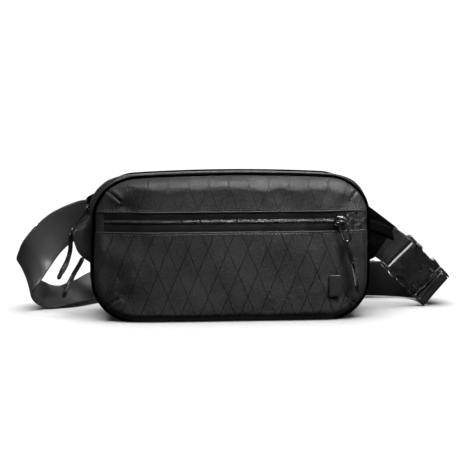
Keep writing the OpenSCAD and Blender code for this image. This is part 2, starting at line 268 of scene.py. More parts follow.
M = {
    "shell": shell_material("shell_ply"),
    "shell_up": shell_material("shell_ply_upper", (0.319, 0.061), deep=0.62),
    "shell_plain": shell_material("shell_plain", lines=None, base=(0.0050, 0.0051, 0.0053)),
    "webbing": webbing_material("webbing_weave"),
    # a near-black copy of the shell cloth with little gloss: painted shade for the wings and tongue tucked beside the
    # bag's ends
    "shell_painted_shade": shell_material("shell_painted_shade", lines=None, base=(0.0006, 0.0006, 0.0006), rough=0.75, spec=0.02),
    "elastic": webbing_material("elastic_weave", base=(0.007, 0.007, 0.007), rough=0.6, pitch=0.0012),
    "piping": plain_fabric("piping_binding", (0.0006, 0.0006, 0.0006), 0.9, 0.0007, 0.0, 0.0),
    "tape": plain_fabric("zip_tape_coated", (0.0024, 0.0024, 0.0025), 0.42, 0.0005, 0.0, 0.22, 0.35),
    # the coil's light base stands in partly for the glints on its teeth, a painted highlight; the three copies below
    # step darker as painted shade toward the pocket zip's left end
    "coil": plastic("coil_nylon", (0.036, 0.036, 0.036), 0.24, 2500, 0.9),
    "coil_painted_shade_half": plastic("coil_nylon_painted_shade_half", (0.023, 0.023, 0.023), 0.29, 2500, 0.70),
    "coil_painted_shade_third": plastic("coil_nylon_painted_shade_third", (0.013, 0.013, 0.013), 0.34, 2500, 0.55),
    "coil_painted_shade_deep": plastic("coil_nylon_painted_shade_deep", (0.006, 0.006, 0.006), 0.40, 2500, 0.4),
    "buckle": plastic("buckle_acetal"),
    "slider": plastic("slider_lacquer", (0.0022, 0.0022, 0.0022), 0.17, 900, 0.9, 0.05),
    "sleeve": plastic("shrink_sleeve", (0.0009, 0.0009, 0.0010), 0.30, 700, 0.30, 0.2),
    "badge": plastic("badge_rubber", (0.0075, 0.0075, 0.0078), 0.45, 1500, 0.35, 0.2),
    "thread": plain_fabric("thread_bonded", (0.020, 0.020, 0.020), 0.40, 0.0003, 0.0, 0.45),
    "cord": cord_material("cord_braid"),
    "mesh": air_mesh("air_mesh_knit"),
    "lining": plain_fabric("lining_weave", (0.17, 0.172, 0.18), 0.7, 0.0005, 0.1, 0.3),
    "foam": plain_fabric("foam_cells", (0.05, 0.05, 0.05), 0.9, 0.0015, 0.0, 0.1, 0.8),
}

# ------------------------------------------------------------------ meshes
MINE = set()
def make(name, verts, faces, mat, body, uvs=None, smooth=True, mats=None):
    MINE.add(name)
    me = bpy.data.meshes.new(name)
    me.from_pydata([tuple(float(c) * MM for c in v) for v in verts], [], [tuple(int(i) for i in f) for f in faces])
    o = bpy.data.objects.new(name, me)
    sc.collection.objects.link(o)
    if uvs is not None:
        layer = me.uv_layers.new(name="uv")
        uv = np.asarray(uvs, float) * MM
        idx = np.empty(len(me.loops), int)
        me.loops.foreach_get("vertex_index", idx)
        layer.data.foreach_set("uv", uv[idx].ravel())
    me.materials.append(M[mat])
    if smooth:
        me.polygons.foreach_set("use_smooth", [True] * len(me.polygons))
    me.update()
    if body:
        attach(o, body)
    return o

def bake(o):
    """Applies every modifier, so the mesh is what it looks like."""
    dg = bpy.context.evaluated_depsgraph_get()
    me = bpy.data.meshes.new_from_object(o.evaluated_get(dg), preserve_all_data_layers=True, depsgraph=dg)
    o.modifiers.clear()
    o.data = me
    return o

def outward(o):
    bm = bmesh.new(); bm.from_mesh(o.data)
    bmesh.ops.recalc_face_normals(bm, faces=bm.faces)
    bm.to_mesh(o.data); bm.free()
    return o

def grid_faces(m, n, flip=False, close=False):
    f = []
    for i in range(m - 1):
        for j in range(n - 1 if not close else n):
            k = (j + 1) % n
            q = (i * n + j, i * n + k, (i + 1) * n + k, (i + 1) * n + j)
            f.append(q[::-1] if flip else q)
    return f

def grid(name, P, mat, body, uv=None, flip=False, thick=0.0, level=0):
    P = np.asarray(P, float)
    m, n, _ = P.shape
    o = make(name, P.reshape(-1, 3), grid_faces(m, n, flip), mat, body,
             None if uv is None else np.asarray(uv, float).reshape(-1, 2))
    if level:
        s = o.modifiers.new("sub", "SUBSURF"); s.levels = s.render_levels = level
    if thick:
        s = o.modifiers.new("thick", "SOLIDIFY"); s.thickness = thick * MM; s.offset = -1.0
        s.use_even_offset = False
    if level or thick:
        bake(o)
    return o

def smooth01(x):
    x = np.clip(x, 0, 1)
    return x * x * (3 - 2 * x)

def catmull(P, per=6):
    P = np.asarray(P, float)
    Q = np.vstack([2 * P[0] - P[1], P, 2 * P[-1] - P[-2]])
    out = []
    for i in range(1, len(Q) - 2):
        a, b, c, d = Q[i - 1], Q[i], Q[i + 1], Q[i + 2]
        for k in range(per):
            t = k / per
            out.append(0.5 * ((2 * b) + (c - a) * t + (2 * a - 5 * b + 4 * c - d) * t * t + (3 * b - a - 3 * c + d) * t ** 3))
    out.append(P[-1])
    return np.array(out)

def resample(P, n):
    P = np.asarray(P, float)
    s = np.concatenate([[0], np.cumsum(np.linalg.norm(np.diff(P, axis=0), axis=1))])
    t = np.linspace(0, s[-1], n)
    return np.stack([np.interp(t, s, P[:, k]) for k in range(P.shape[1])], 1), t

def frames(P, ref):
    P = np.asarray(P, float)
    T = np.gradient(P, axis=0)
    T /= np.linalg.norm(T, axis=1)[:, None]
    R = np.asarray(ref, float)
    if R.ndim == 1:
        R = np.tile(R, (len(P), 1))
    A = R - (R * T).sum(1)[:, None] * T
    A /= np.linalg.norm(A, axis=1)[:, None]
    return T, A, np.cross(T, A)

def tube_data(P, r, sides=10, ref=(0, 1, 0), caps=True, closed=False, squash=1.0):
    P = np.asarray(P, float)
    n = len(P)
    if closed:
        Q = np.vstack([P[-1], P, P[0]])
        T, A, B = frames(Q, ref)
        T, A, B = T[1:-1], A[1:-1], B[1:-1]
    else:
        T, A, B = frames(P, ref)
    r = np.broadcast_to(np.asarray(r, float), (n,))
    ang = np.linspace(0, 2 * np.pi, sides, endpoint=False)
    V = P[:, None] + r[:, None, None] * (np.cos(ang)[None, :, None] * A[:, None] + squash * np.sin(ang)[None, :, None] * B[:, None])
    s = np.concatenate([[0], np.cumsum(np.linalg.norm(np.diff(P, axis=0), axis=1))])
    uv = np.stack([np.repeat(s, sides), np.tile(ang, n) * float(r.mean())], 1)
    V = V.reshape(-1, 3)
    F = grid_faces(n, sides, True, True)
    if closed:
        F += [((n - 1) * sides + j, 0 * sides + j, 0 * sides + (j + 1) % sides, (n - 1) * sides + (j + 1) % sides) for j in range(sides)]
    elif caps:
        c0, c1 = len(V), len(V) + 1
        V = np.vstack([V, P[0], P[-1]])
        uv = np.vstack([uv, [0, 0], [s[-1], 0]])
        F += [(c0, j, (j + 1) % sides) for j in range(sides)]
        F += [(c1, (n - 1) * sides + (j + 1) % sides, (n - 1) * sides + j) for j in range(sides)]
    return V, F, uv

def join_data(parts):
    V, F, U, k = [], [], [], 0
    for v, f, u in parts:
        V.append(np.asarray(v, float)); U.append(np.asarray(u, float))
        F += [tuple(i + k for i in q) for q in f]
        k += len(v)
    return np.vstack(V), F, np.vstack(U)

def tube(name, P, r, mat, body, slot, **kw):
    V, F, uv = tube_data(P, r, **kw)
    return outward(make(name, V, F, mat, body, uv))

# ------------------------------------------------------------------ the three pull cords
def strand_pair(name, route, body, width, sep, start_len, end_len, ref):
    """A cord that is doubled through its wire loop and back: two strands side by side, joined at both ends."""
    C = catmull(route, 6)
    C, s = resample(C, 70)
    T, A, B = frames(C, ref)
    r = width / 2 - sep
    n = len(C)
    open_ = 1 - 0.30 * np.exp(-((s - s[-1] * 0.5) / (s[-1] * 0.3)) ** 2)
    k = np.sqrt(np.clip(1 - np.clip(1 - s / start_len, 0, 1) ** 2, 0.0, 1))
    e = np.sqrt(np.clip(1 - np.clip(1 - (s[-1] - s) / end_len, 0, 1) ** 2, 0.0, 1))
    off = sep * np.minimum(k, e)
    left = C - A * off[:, None]
    right = C + A * off[:, None]
    twist = 0.25 * np.sin(s / 5.0)[:, None] * B
    loop = np.vstack([left + twist, (right - twist)[::-1][1:-1]])
    V, F, uv = tube_data(loop, r, sides=12, ref=tuple(B[len(B) // 2]), closed=True)
    o = outward(make(name, V, F, "cord", body, uv))
    return o, C, s[-1]

def sleeve(name, C, a, b, r1, r2, body, ribs):
    n = 90
    s = np.concatenate([[0], np.cumsum(np.linalg.norm(np.diff(C, axis=0), axis=1))])
    t = np.linspace(a, b, n)
    P = np.stack([np.interp(t, s, C[:, k]) for k in range(3)], 1)
    q = (t - a) / (b - a)
    r = r1 + (r2 - r1) * smooth01(q * 1.4)
    rib = np.where((q > 0.30) & (q < 0.90), np.abs(np.sin((q - 0.30) / 0.60 * math.pi * ribs)) ** 0.6, 0.75)
    r = r * (0.90 + 0.13 * rib)
    r = r * np.sqrt(np.clip(1 - np.clip(1 - (t - a) / 0.8, 0, 1) ** 2 * 0.5, 0, 1)) * np.sqrt(np.clip(1 - np.clip(1 - (b - t) / 1.0, 0, 1) ** 2 * 0.6, 0, 1))
    return tube(name, P, r, "sleeve", body, "sleeve", sides=20, squash=0.86)

def wire_loop(name, p, q, h, w, r, body, mid=1.0):
    p, q, w = (np.asarray(v, float) for v in (p, q, w))
    d = (q - p) / np.linalg.norm(q - p)
    e = w - (w @ d) * d; e /= np.linalg.norm(e)
    k = np.linspace(-90, 90, 14) * math.pi / 180
    P = [p - h * np.cos(a) * d + h * np.sin(a) * e for a in k]
    P += [p + (q - p) * f + h * (1 + (mid - 1) * math.sin(f * math.pi)) * e for f in (0.2, 0.4, 0.6, 0.8)]
    P += [q + h * np.cos(a) * d - h * np.sin(a) * e for a in k]
    P += [q + (p - q) * f - h * (1 + (mid - 1) * math.sin(f * math.pi)) * e for f in (0.2, 0.4, 0.6, 0.8)]
    return tube(name, np.array(P), r, "slider", body, "slider", sides=12, ref=tuple(np.cross(d, e)), closed=True)

ROUTE_P = [[112,-47,85],[114,-47,78],[117,-47,70],[119,-47,63],[121,-47,56],[123,-47,49],[124,-47,42],[125,-47,36],[126,-47,30]]
ROUTE_A = [[-163,0,86],[-163,0,80],[-163,0,73],[-164,0,66],[-166,0,59],[-169,0,52],[-173,0,45],[-176,0,39]]
ROUTE_B = [[-151,0,60],[-154,0,54],[-157,0,49],[-160,0,44],[-163,0,38],[-166,0,32],[-169,0,26],[-171,0,20]]
for key, route, body, sl, loopd, ribs in (
        ("pocket", ROUTE_P, "pull_p", (25, 49.5, 2.75, 3.35), ([108.6,-46.8,102.6], [114.6,-47,85.2], (1,0,0)), 8),
        ("main_a", ROUTE_A, "pull_a", (22.5, 43.0, 2.75, 3.35), ([-146.7,0,111.4], [-162.6,0,87.4], (0,1,0)), 7),
        ("main_b", ROUTE_B, "pull_b", (20.0, 39.0, 2.75, 3.35), ([-146,0,70.8], [-150.4,0,61.2], (0,1,0)), 6)):
    o, C, L = strand_pair("cord_" + key, route, body, 4.7, 1.15, 2.4, 2.6, (1, 0, 0.4))
    s_ = sleeve("sleeve_" + key, C, sl[0], sl[1], sl[2], sl[3], body, ribs)
    w_ = wire_loop("wire_" + key, *loopd[:2], 3.2 if key == "pocket" else 3.3, loopd[2], 1.25 if key == "pocket" else 1.0, body, 1.08)
    tag = {"pocket": ("pocket_pull_cord", "pocket_pull_sleeve", "pocket_pull_loop"), "main_a": ("pull_cord_a", "pull_sleeve_a", "pull_loop_a"), "main_b": ("pull_cord_b", "pull_sleeve_b", "pull_loop_b")}[key]
    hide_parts(tag[0]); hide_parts(tag[1]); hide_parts(tag[2])

# ---- the outline of the body, in the XZ plane ----
HW, HT, RC = 138.5, 147.0, 41.5
def crown(x, z):
    return z - 2.6 * np.clip(z / HT, 0, 1) ** 3 * np.clip(np.abs(x) / 95, 0, 1.25) ** 2

def outline(o=0.0, hw=HW, n=420, z0=0.0):
    """Closed loop inset by o, from the bottom middle to the left, up, over and down the right; evenly spaced."""
    a, r, top, bot = hw - o, RC - o, HT - o, z0 + o
    c, cl, ct = hw - RC, RC + z0, HT - RC
    arc = lambda x, z, a0, a1: [(x + r * math.cos(t), z + r * math.sin(t)) for t in np.linspace(math.radians(a0), math.radians(a1), 24)]
    pts = [(0, bot)] + arc(-c, cl, 270, 180) + arc(-c, ct, 180, 90) + [(0, top)] + arc(c, ct, 90, 0) + arc(c, cl, 0, -90) + [(0, bot)]
    P = resample(np.array(pts), n + 1)[0][:-1]
    return np.stack([P[:, 0] - lean(P[:, 0], P[:, 1]), crown(P[:, 0], P[:, 1])], 1)

def lean(x, z):
    """The wearer's-left side swells a little at mid height."""
    return 2.0 * np.exp(-((z - 50) / 34) ** 2) * smooth01((-x - 80) / 50)

def inside(x, z):
    """Distance to the outline, positive inside."""
    x, z = np.asarray(x, float), np.asarray(z, float)
    x = x + lean(x, z)
    z = z + 2.6 * np.clip(z / HT, 0, 1) ** 3 * np.clip(np.abs(x) / 95, 0, 1.25) ** 2
    qx, qz = np.abs(x) - (HW - RC), np.abs(z - HT / 2) - (HT / 2 - RC)
    return RC - np.hypot(np.maximum(qx, 0), np.maximum(qz, 0)) - np.minimum(np.maximum(qx, qz), 0)

def nz(x, y, z=0.0):
    return noise.noise(Vector((float(x), float(y), float(z))))

DARTS = [((-123.5, 132.2), (-110.5, 121.5), 1.0), ((-125.5, 17.5), (-113.5, 26.5), 0.9), ((124.5, 129), (118.5, 122.5), 0.9), ((124.5, 17.5), (117, 24), 0.5)]
def face_y(x, z):
    """The front panel's surface over the XZ plane."""
    x, z = float(x), float(z)
    d = float(inside(x, z))
    wav = 1.0 + 0.20 * nz(x * 0.045, z * 0.02, 3.1) + 0.10 * nz(x * 0.11, z * 0.05, 7.7)
    top = smooth01((z - 60) / 70)
    run = (9.5 + 5.5 * top) * wav
    g = math.sin(min(1.0, max(0.0, d) / run) * math.pi / 2) ** 0.85
    y = -30.4 - 11.4 * g * (1 - (0.52 if x < 0 else 0.40) * float(smooth01((abs(x) - (78 if x < 0 else 84)) / 56)))
    m = float(smooth01((d - 3) / 9))
    # slack cloth: soft buckles, stronger near the ends and along the top
    ends = float(smooth01((abs(x) - 60) / 70))
    y += m * (0.60 + 1.3 * ends) * nz(x * 0.030, z * 0.034, 1.3)
    y += m * (0.28 + 0.8 * ends) * nz(x * 0.085 + 0.3 * nz(z * 0.05, 2.0), z * 0.045, 5.2)
    y += float(smooth01((z - 118) / 16)) * m * 0.8 * nz(x * 0.062, z * 0.05, 9.4)
    for (ax, az), (bx, bz), s in DARTS:
        ex, ez = bx - ax, bz - az
        L = math.hypot(ex, ez)
        t = ((x - ax) * ex + (z - az) * ez) / (L * L)
        q = abs((x - ax) * ez - (z - az) * ex) / L
        along = float(smooth01((t + 0.25) / 0.3) * smooth01((1.04 - t) / 0.10))
        y += s * along * 1.5 * math.exp(-(q / 0.75) ** 2)
        y -= s * along * 0.7 * math.exp(-((q - 3.0) / 2.2) ** 2)
        hx, hz = x - (bx + 0.22 * ex), z - (bz + 0.22 * ez)
        y += s * 1.3 * math.exp(-(hx * hx / 60 + hz * hz / 40))
    # a long soft hollow above the zip window's left end, and a fold at the lower left
    y += 1.6 * math.exp(-(((x + 112) / 14) ** 2 + ((z - 116) / 7) ** 2))
    y += 1.0 * math.exp(-(((x + 112) / 7) ** 2 + ((z - 44) / 16) ** 2))
    y -= 0.8 * math.exp(-(((x + 100) / 7) ** 2 + ((z - 52) / 22) ** 2))
    return y

SLOT_LO, SLOT_HI = 91.3, 112.2

def front_panel(name, low):
    O = outline(0.6, n=900)
    z0 = SLOT_LO if low else SLOT_HI
    if low:
        i0 = np.where((O[:, 0] < 0) & (O[:, 1] < z0))[0]; i1 = np.where((O[:, 0] > 0) & (O[:, 1] < z0))[0]
        U = np.vstack([O[i0][::-1], O[i1][::-1]])
        U = np.vstack([[-HW + 0.6, z0], U, [HW - 0.6, z0]])
    else:
        i = np.where(O[:, 1] > z0)[0]
        U = O[i]
        U = np.vstack([[U[0, 0] - 0.1, z0], U, [U[-1, 0] + 0.1, z0]])
    U = resample(U, 270 if low else 230)[0]
    n = len(U)
    base = np.stack([np.interp(np.linspace(0, 1, n), [0, 1], [-104, 104]), np.full(n, z0)], 1)
    K = 62
    rows = []
    for k in range(K + 1):
        t = (k / K) ** 1.45
        rows.append(U * (1 - t) + base * t)
    G = np.array(rows)                       # K+1 x n x 2
    # the first and last columns run along the zip window, so every edge there is at z0
    P = np.zeros((K + 1, n, 3))
    for i in range(K + 1):
        for j in range(n):
            x, z = G[i, j]
            P[i, j] = (x, face_y(x, z), z)
    return grid(name, P, "shell" if low else "shell_up", F_, uv=G, flip=not low, thick=1.1), P

low_o, low_P = front_panel("front_lower_skin", True)
up_o, up_P = front_panel("front_upper_skin", False)
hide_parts("front_panel_lower")
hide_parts("front_panel_upper")

# rolled hems of the zip window, its stitching and the pocket's zip
for i, ((ax, az), (bx, bz), k_) in enumerate(DARTS):
    f = np.linspace(0.02, 1.06, 26)
    P = np.array([(ax + (bx - ax) * t + 0.5 * math.sin(t * 3), face_y(ax + (bx - ax) * t + 0.5 * math.sin(t * 3), az + (bz - az) * t) - 0.05, az + (bz - az) * t) for t in f])
    # a thin ridge along each dart: the seam is real, its black piping colour is painted shade for the dart's crease
    tube("dart_seam_%d" % i, P, 0.62 * k_ ** 0.5 * np.sqrt(np.clip(1.02 - f * 0.75, 0.1, 1)), "piping", F_, "shell", sides=10)
    e = np.array([bx + 0.03 * (bx - ax), 0, bz + 0.03 * (bz - az)]); e[1] = face_y(e[0], e[2]) - 0.5
    d_ = np.array([bx - ax, 0, bz - az]); d_ /= np.linalg.norm(d_)
    tube("dart_knot_%d" % i, np.array([e + d_ * q for q in np.linspace(-1.3, 1.5, 9)]), 1.0 * k_ ** 0.5 * np.array([0.3, 0.7, 0.95, 1, 1, 0.9, 0.75, 0.5, 0.2]), "shell_plain", F_, "shell", sides=10)

def hem(name, z, s):
    xs = np.linspace(-136.4, 136.4, 240)
    rows = []
    for dz, dy in ((0.9, 0.2), (0.35, -0.45), (-0.4, -0.5), (-1.0, 0.15), (-1.05, 1.1), (-0.6, 2.0)):
        rows.append([(x, face_y(x, z) + dy + 0.12 * nz(x * 0.12, z), z + s * dz + 0.12 * nz(x * 0.07, z + 9)) for x in xs])
    P = np.array(rows)
    uv = np.stack([np.tile(xs, (len(rows), 1)), np.tile(np.arange(len(rows))[:, None] * 0.8, (1, len(xs)))], 2)
    o = grid(name, P, "shell_plain", F_, uv=uv, flip=s > 0, thick=0.5, level=1)
    return o
hem("pocket_hem_upper", SLOT_HI, 1)
hem("pocket_hem_lower", SLOT_LO, -1)

def stitches(name, pts, normals, body, length=2.3, gap=1.2, r=0.36):
    """A row of thread bumps along a line of points on a surface."""
    P, s = resample(pts, max(2, int(np.linalg.norm(np.diff(pts, axis=0), axis=1).sum() / 0.5)))
    N = np.stack([np.interp(np.linspace(0, 1, len(P)), np.linspace(0, 1, len(normals)), np.asarray(normals, float)[:, k]) for k in range(3)], 1)
    total, step, parts = s[-1], length + gap, []
    for k in range(int(total / step)):
        a, b = k * step + 0.3, k * step + 0.3 + length
        Q = np.stack([[np.interp(t, s, P[:, c]) for c in range(3)] for t in np.linspace(a, b, 5)])
        nn = np.array([np.interp((a + b) / 2, s, N[:, c]) for c in range(3)])
        lift = np.array([-0.15, 0.18, 0.28, 0.18, -0.15])
        parts.append(tube_data(Q + lift[:, None] * nn, [r * 0.55, r, r, r, r * 0.55], sides=6, ref=nn + 0.001))
    V, F, U = join_data(parts)
    return outward(make(name, V, F, "thread", body, U))

for nm, z, s in (("stitch_window_upper", SLOT_HI + 2.0, 1), ("stitch_window_lower", SLOT_LO - 2.0, -1)):
    xs = np.linspace(-133, 133, 140)
    stitches(nm, np.array([(x, face_y(x, z), z) for x in xs]), np.tile([0, -1, 0], (140, 1)), F_)

def tape_y(x):
    return float(face_y(x, 102)) * 0.5 + float(face_y(x, 108)) * 0.25 + float(face_y(x, 95)) * 0.25 + 1.5

def pocket_tape(name, za, zb, up):
    xs = np.linspace(-135.5, 135.5, 200)
    rows = []
    zs = np.linspace(za, zb, 9)
    for z in zs:
        q = (z - 102) / 11
        rows.append([(x, tape_y(x) + 0.25 * math.cos(q * 5) + 0.10 * nz(x * 0.08, z * 0.2, 4), z) for x in xs])
    P = np.array(rows)
    uv = np.stack([P[:, :, 0], P[:, :, 2]], 2)
    return grid(name, P, "tape", F_, uv=uv, flip=False, thick=0.5)
t1 = pocket_tape("pocket_tape_up", 102.6, 114.0, True)
t2 = pocket_tape("pocket_tape_lo", 89.6, 102.4, False)
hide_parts("pocket_tape_upper")
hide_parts("pocket_tape_lower")

def coil(name, path, side, up, body, mat="coil", pitch=1.42, reach=1.75, over=0.35, r=0.42, lift=0.85):
    """One half of a zip's coil: a row of bent teeth. side points from the chain's middle to this half's tape, up away from it."""
    P, s = resample(path, int(np.linalg.norm(np.diff(path, axis=0), axis=1).sum() / 0.5) + 2)
    side, up = np.asarray(side, float), np.asarray(up, float)
    parts, half = [], (0.0 if side.sum() > 0 else 0.5) * pitch
    T = np.gradient(P, axis=0); T /= np.linalg.norm(T, axis=1)[:, None]
    for k in range(int(s[-1] / pitch)):
        a = k * pitch + half
        c = np.array([np.interp(a, s, P[:, q]) for q in range(3)])
        t = np.array([np.interp(a, s, T[:, q]) for q in range(3)])
        u = np.array([np.interp(a, s, up[:, q]) for q in range(3)]) if up.ndim == 2 else up
        u = u / np.linalg.norm(u)
        prof = [(reach, 0.0, -0.22), (reach * 0.78, lift * 0.75, -0.16), (reach * 0.3, lift, 0.0), (-over * 0.6, lift * 0.92, 0.10), (-over, lift * 0.35, 0.14)]
        Q = np.array([c + side * a_ + u * b_ + t * d_ for a_, b_, d_ in prof])
        parts.append(tube_data(Q, [r * 0.9, r, r, r * 1.15, r * 0.8], sides=6, ref=t))
    V, F, U = join_data(parts)
    return outward(make(name, V, F, mat, body, U))

xs = np.linspace(-127, 115, 160)
chain = np.array([(x, tape_y(x) - 0.35, 102.5) for x in xs])
ca = coil("pocket_teeth_upper", chain[63:], (0, 0, 1), (0, -1, 0), F_)
cb = coil("pocket_teeth_lower", chain[63:], (0, 0, -1), (0, -1, 0), F_)
# the teeth toward the pocket zip's left end take ever darker copies of the coil material: painted shade
for tag_, c_, m_ in (("mid", chain[51:64], "coil_painted_shade_half"), ("near", chain[38:52], "coil_painted_shade_third"), ("end", chain[:39], "coil_painted_shade_deep")):
    coil("pocket_teeth_upper_" + tag_, c_, (0, 0, 1), (0, -1, 0), F_, m_)
    coil("pocket_teeth_lower_" + tag_, c_, (0, 0, -1), (0, -1, 0), F_, m_)
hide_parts("pocket_coil")

def end_tab(name, xa, xb, wr):
    xs = np.linspace(xa, xb, 22); zs = np.linspace(91.2, 112.3, 24)
    P = np.array([[(x, tape_y(x) - 0.75 + wr * nz(x * 0.35, z * 0.22, 8) * 1.2 + 0.25 * abs(math.sin((x - xa) * 1.1)) * (wr > 0), z) for x in xs] for z in zs])
    return grid(name, P, "shell_plain", F_, uv=P[:, :, [0, 2]], flip=False, thick=0.8)
e1 = end_tab("pocket_tab_left", -136.6, -128.6, 0.15)
e2 = end_tab("pocket_tab_right", 114.5, 136.6, 1.15)
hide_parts("pocket_end_tabs")

# ------------------------------------------------------------------ piping, gussets, main zip
def bulge(x, z):
    """How far the gusset swells between its two piped edges, by place on the outline."""
    side = smooth01((np.abs(x) - 96) / 36)
    low = smooth01(z / 44)
    return 4.4 * side * (0.55 + 0.45 * smooth01((z - 40) / 50)) * low * (1 - 0.12 * smooth01((z - 100) / 40))

def out_normals(L):
    T = np.roll(L, -1, 0) - np.roll(L, 1, 0)
    T /= np.linalg.norm(T, axis=1)[:, None]
    N = np.stack([T[:, 1], -T[:, 0]], 1)
    c = np.array([0, HT / 2])
    return np.where(((L - c) * N).sum(1)[:, None] < 0, -N, N)

LOOP = outline(0.2, n=560)
NORM = out_normals(LOOP)
def skin(y, extra=0.0, wr=1.0):
    """The gusset's loop at depth y, as n x 3."""
    q = np.clip((y + 30.0) / 64.5, 0, 1)
    prof = math.sin(q * math.pi) ** 0.80 if 0 < q < 1 else 0.0
    b = bulge(LOOP[:, 0], LOOP[:, 1]) * prof + extra
    top = smooth01((LOOP[:, 1] - 130) / 16) * 0.5 * prof
    w = np.array([nz(LOOP[i, 0] * 0.035, LOOP[i, 1] * 0.035, y * 0.05) * 1.0 + nz(LOOP[i, 0] * 0.11, LOOP[i, 1] * 0.11, y * 0.11) * 0.35 for i in range(len(LOOP))])
    b = b + top + w * wr * (0.35 + smooth01((np.abs(LOOP[:, 0]) - 90) / 40)) * prof * 1.1
    XZ = LOOP + NORM * b[:, None]
    z = np.maximum(XZ[:, 1], 0.25)
    return np.stack([XZ[:, 0], np.full(len(XZ), float(y)), z], 1)

ZIP_END = 58.0
UPPER = np.where(LOOP[:, 1] >= ZIP_END)[0]
LOWER = np.concatenate([np.arange(UPPER[-1], len(LOOP)), np.arange(0, UPPER[0] + 1)])
ARC = np.concatenate([[0], np.cumsum(np.linalg.norm(np.diff(LOOP, axis=0), axis=1))])

def gusset(name, idx, ys, mat, body, thick, extra=None, level=0, wr=1.0, flip=False):
    rows = [skin(y, 0.0 if extra is None else extra(y), wr)[idx] for y in ys]
    P = np.array(rows)
    d = np.concatenate([[0], np.cumsum(np.linalg.norm(np.diff(LOOP[idx], axis=0), axis=1))])
    uv = np.stack([np.tile(d, (len(ys), 1)), np.tile(np.asarray(ys, float)[:, None], (1, len(idx)))], 2)
    return grid(name, P, mat, body, uv=uv, flip=flip, thick=thick, level=level)

welt = lambda y: 0.9 * math.exp(-((abs(y) - 6.6) / 1.5) ** 2) - 0.35 * math.exp(-((abs(y) - 9.6) / 1.0) ** 2) + 0.5 * math.exp(-((abs(y) - 4.6) / 0.9) ** 2)
lowwelt = lambda y: 0.0
g1 = gusset("gusset_front_skin", UPPER, np.linspace(-30.0, -3.6, 34), "shell_plain", F_, 1.0, welt, flip=False)
g2 = gusset("gusset_rear_skin", UPPER, np.linspace(3.6, 34.8, 34), "shell_plain", R_, 1.0, welt, flip=False)
g3 = gusset("gusset_lower_skin", LOWER, np.linspace(-30.0, 34.8, 70), "shell_plain", None, 1.0, lowwelt, flip=False)
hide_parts("front_gusset"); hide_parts("rear_gusset"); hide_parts("lower_gusset")
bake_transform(g3)

z1 = gusset("main_tape_front", UPPER, np.linspace(-4.6, -0.75, 8), "tape", F_, 0.5, lambda y: -0.35, wr=1.0)
z2 = gusset("main_tape_rear", UPPER, np.linspace(0.75, 4.6, 8), "tape", R_, 0.5, lambda y: -0.35, wr=1.0)
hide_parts("front_zip_tape"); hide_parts("rear_zip_tape")
mid = skin(0.0, -0.25)[UPPER]
mn = np.stack([NORM[UPPER, 0], np.zeros(len(UPPER)), NORM[UPPER, 1]], 1)
keep_ = ~((mid[:, 0] < 0) & (mid[:, 2] < 94))      # no teeth where slider B's wedge travels, inside the garage
short_, mn = mid[keep_], mn[keep_]
mt = resample(np.hstack([short_, mn]), int(np.linalg.norm(np.diff(short_, axis=0), axis=1).sum() / 0.5) + 2)[0]
c1 = coil("main_teeth_front", short_, (0, -1, 0), mt[:, 3:], F_)
c2 = coil("main_teeth_rear", short_, (0, 1, 0), mt[:, 3:], R_)
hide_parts("front_zip_coil"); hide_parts("rear_zip_coil")

def piping(name, y, o, r, body, node):
    L = outline(o, n=520)
    P = np.stack([L[:, 0], np.full(len(L), float(y)) + np.array([0.25 * nz(a * 0.05, b * 0.05, 2.2) for a, b in L]), np.maximum(L[:, 1], r + 0.15)], 1)
    V, F, uv = tube_data(P, r, sides=12, ref=(0, 1, 0), closed=True)
    p = outward(make(name, V, F, "piping", body, uv))
    # normals and depths for a binding flap; no flap is built
    N = out_normals(L)
    ys = [y - 1.4 * np.sign(y), y + 0.2 * np.sign(y)]
    return p
pf = piping("piping_front", -30.9, 0.1, 1.75, F_, "front_piping")
pf2 = piping("piping_front_fold", -28.6, -0.1, 1.0, F_, "front_piping")
pb = piping("piping_back", 35.6, 0.4, 1.75, R_, "back_piping")
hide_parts("front_piping"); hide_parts("back_piping")

for nm, y, b in (("stitch_main_front", -8.2, F_), ("stitch_main_rear", 8.2, R_)):
    line = skin(y, 0.9 * math.exp(-((abs(y) - 6.6) / 1.5) ** 2))[UPPER]
    stitches(nm, line, mn, b)

# ------------------------------------------------------------------ whole-outline panels: back, linings
def panel(name, o, yfun, thick, mat, body, nx=150, nz_=64, flip=False, z_cut=None, x_cut=None):
    """A cloth over the whole outline, inset by o: columns run from the lower edge to the upper one."""
    a_, r = (HW if x_cut is None else x_cut) - o * (x_cut is None), RC - o
    c = HW - RC
    X = a_ * np.sin(np.linspace(-1, 1, nx) * math.pi / 2 * 0.97) / math.sin(math.pi / 2 * 0.97)
    P = np.zeros((nz_, nx, 3))
    for j, x in enumerate(X):
        k = max(0.0, abs(x) - c)
        e = r - math.sqrt(max(0.0, r * r - k * k))
        lo, hi = o + e, HT - o - e
        if z_cut is not None:
            hi = min(hi, z_cut)
        for i in range(nz_):
            z0 = lo + (hi - lo) * (0.5 - 0.5 * math.cos(math.pi * i / (nz_ - 1)))
            x1 = x - float(lean(x, z0)); z1 = float(crown(x, z0)) if z_cut is None else z0
            P[i, j] = (x1, yfun(x1, z1), max(z1, 0.4))
    return outward(grid(name, P, mat, body, uv=P[:, :, [0, 2]], flip=flip, thick=thick))

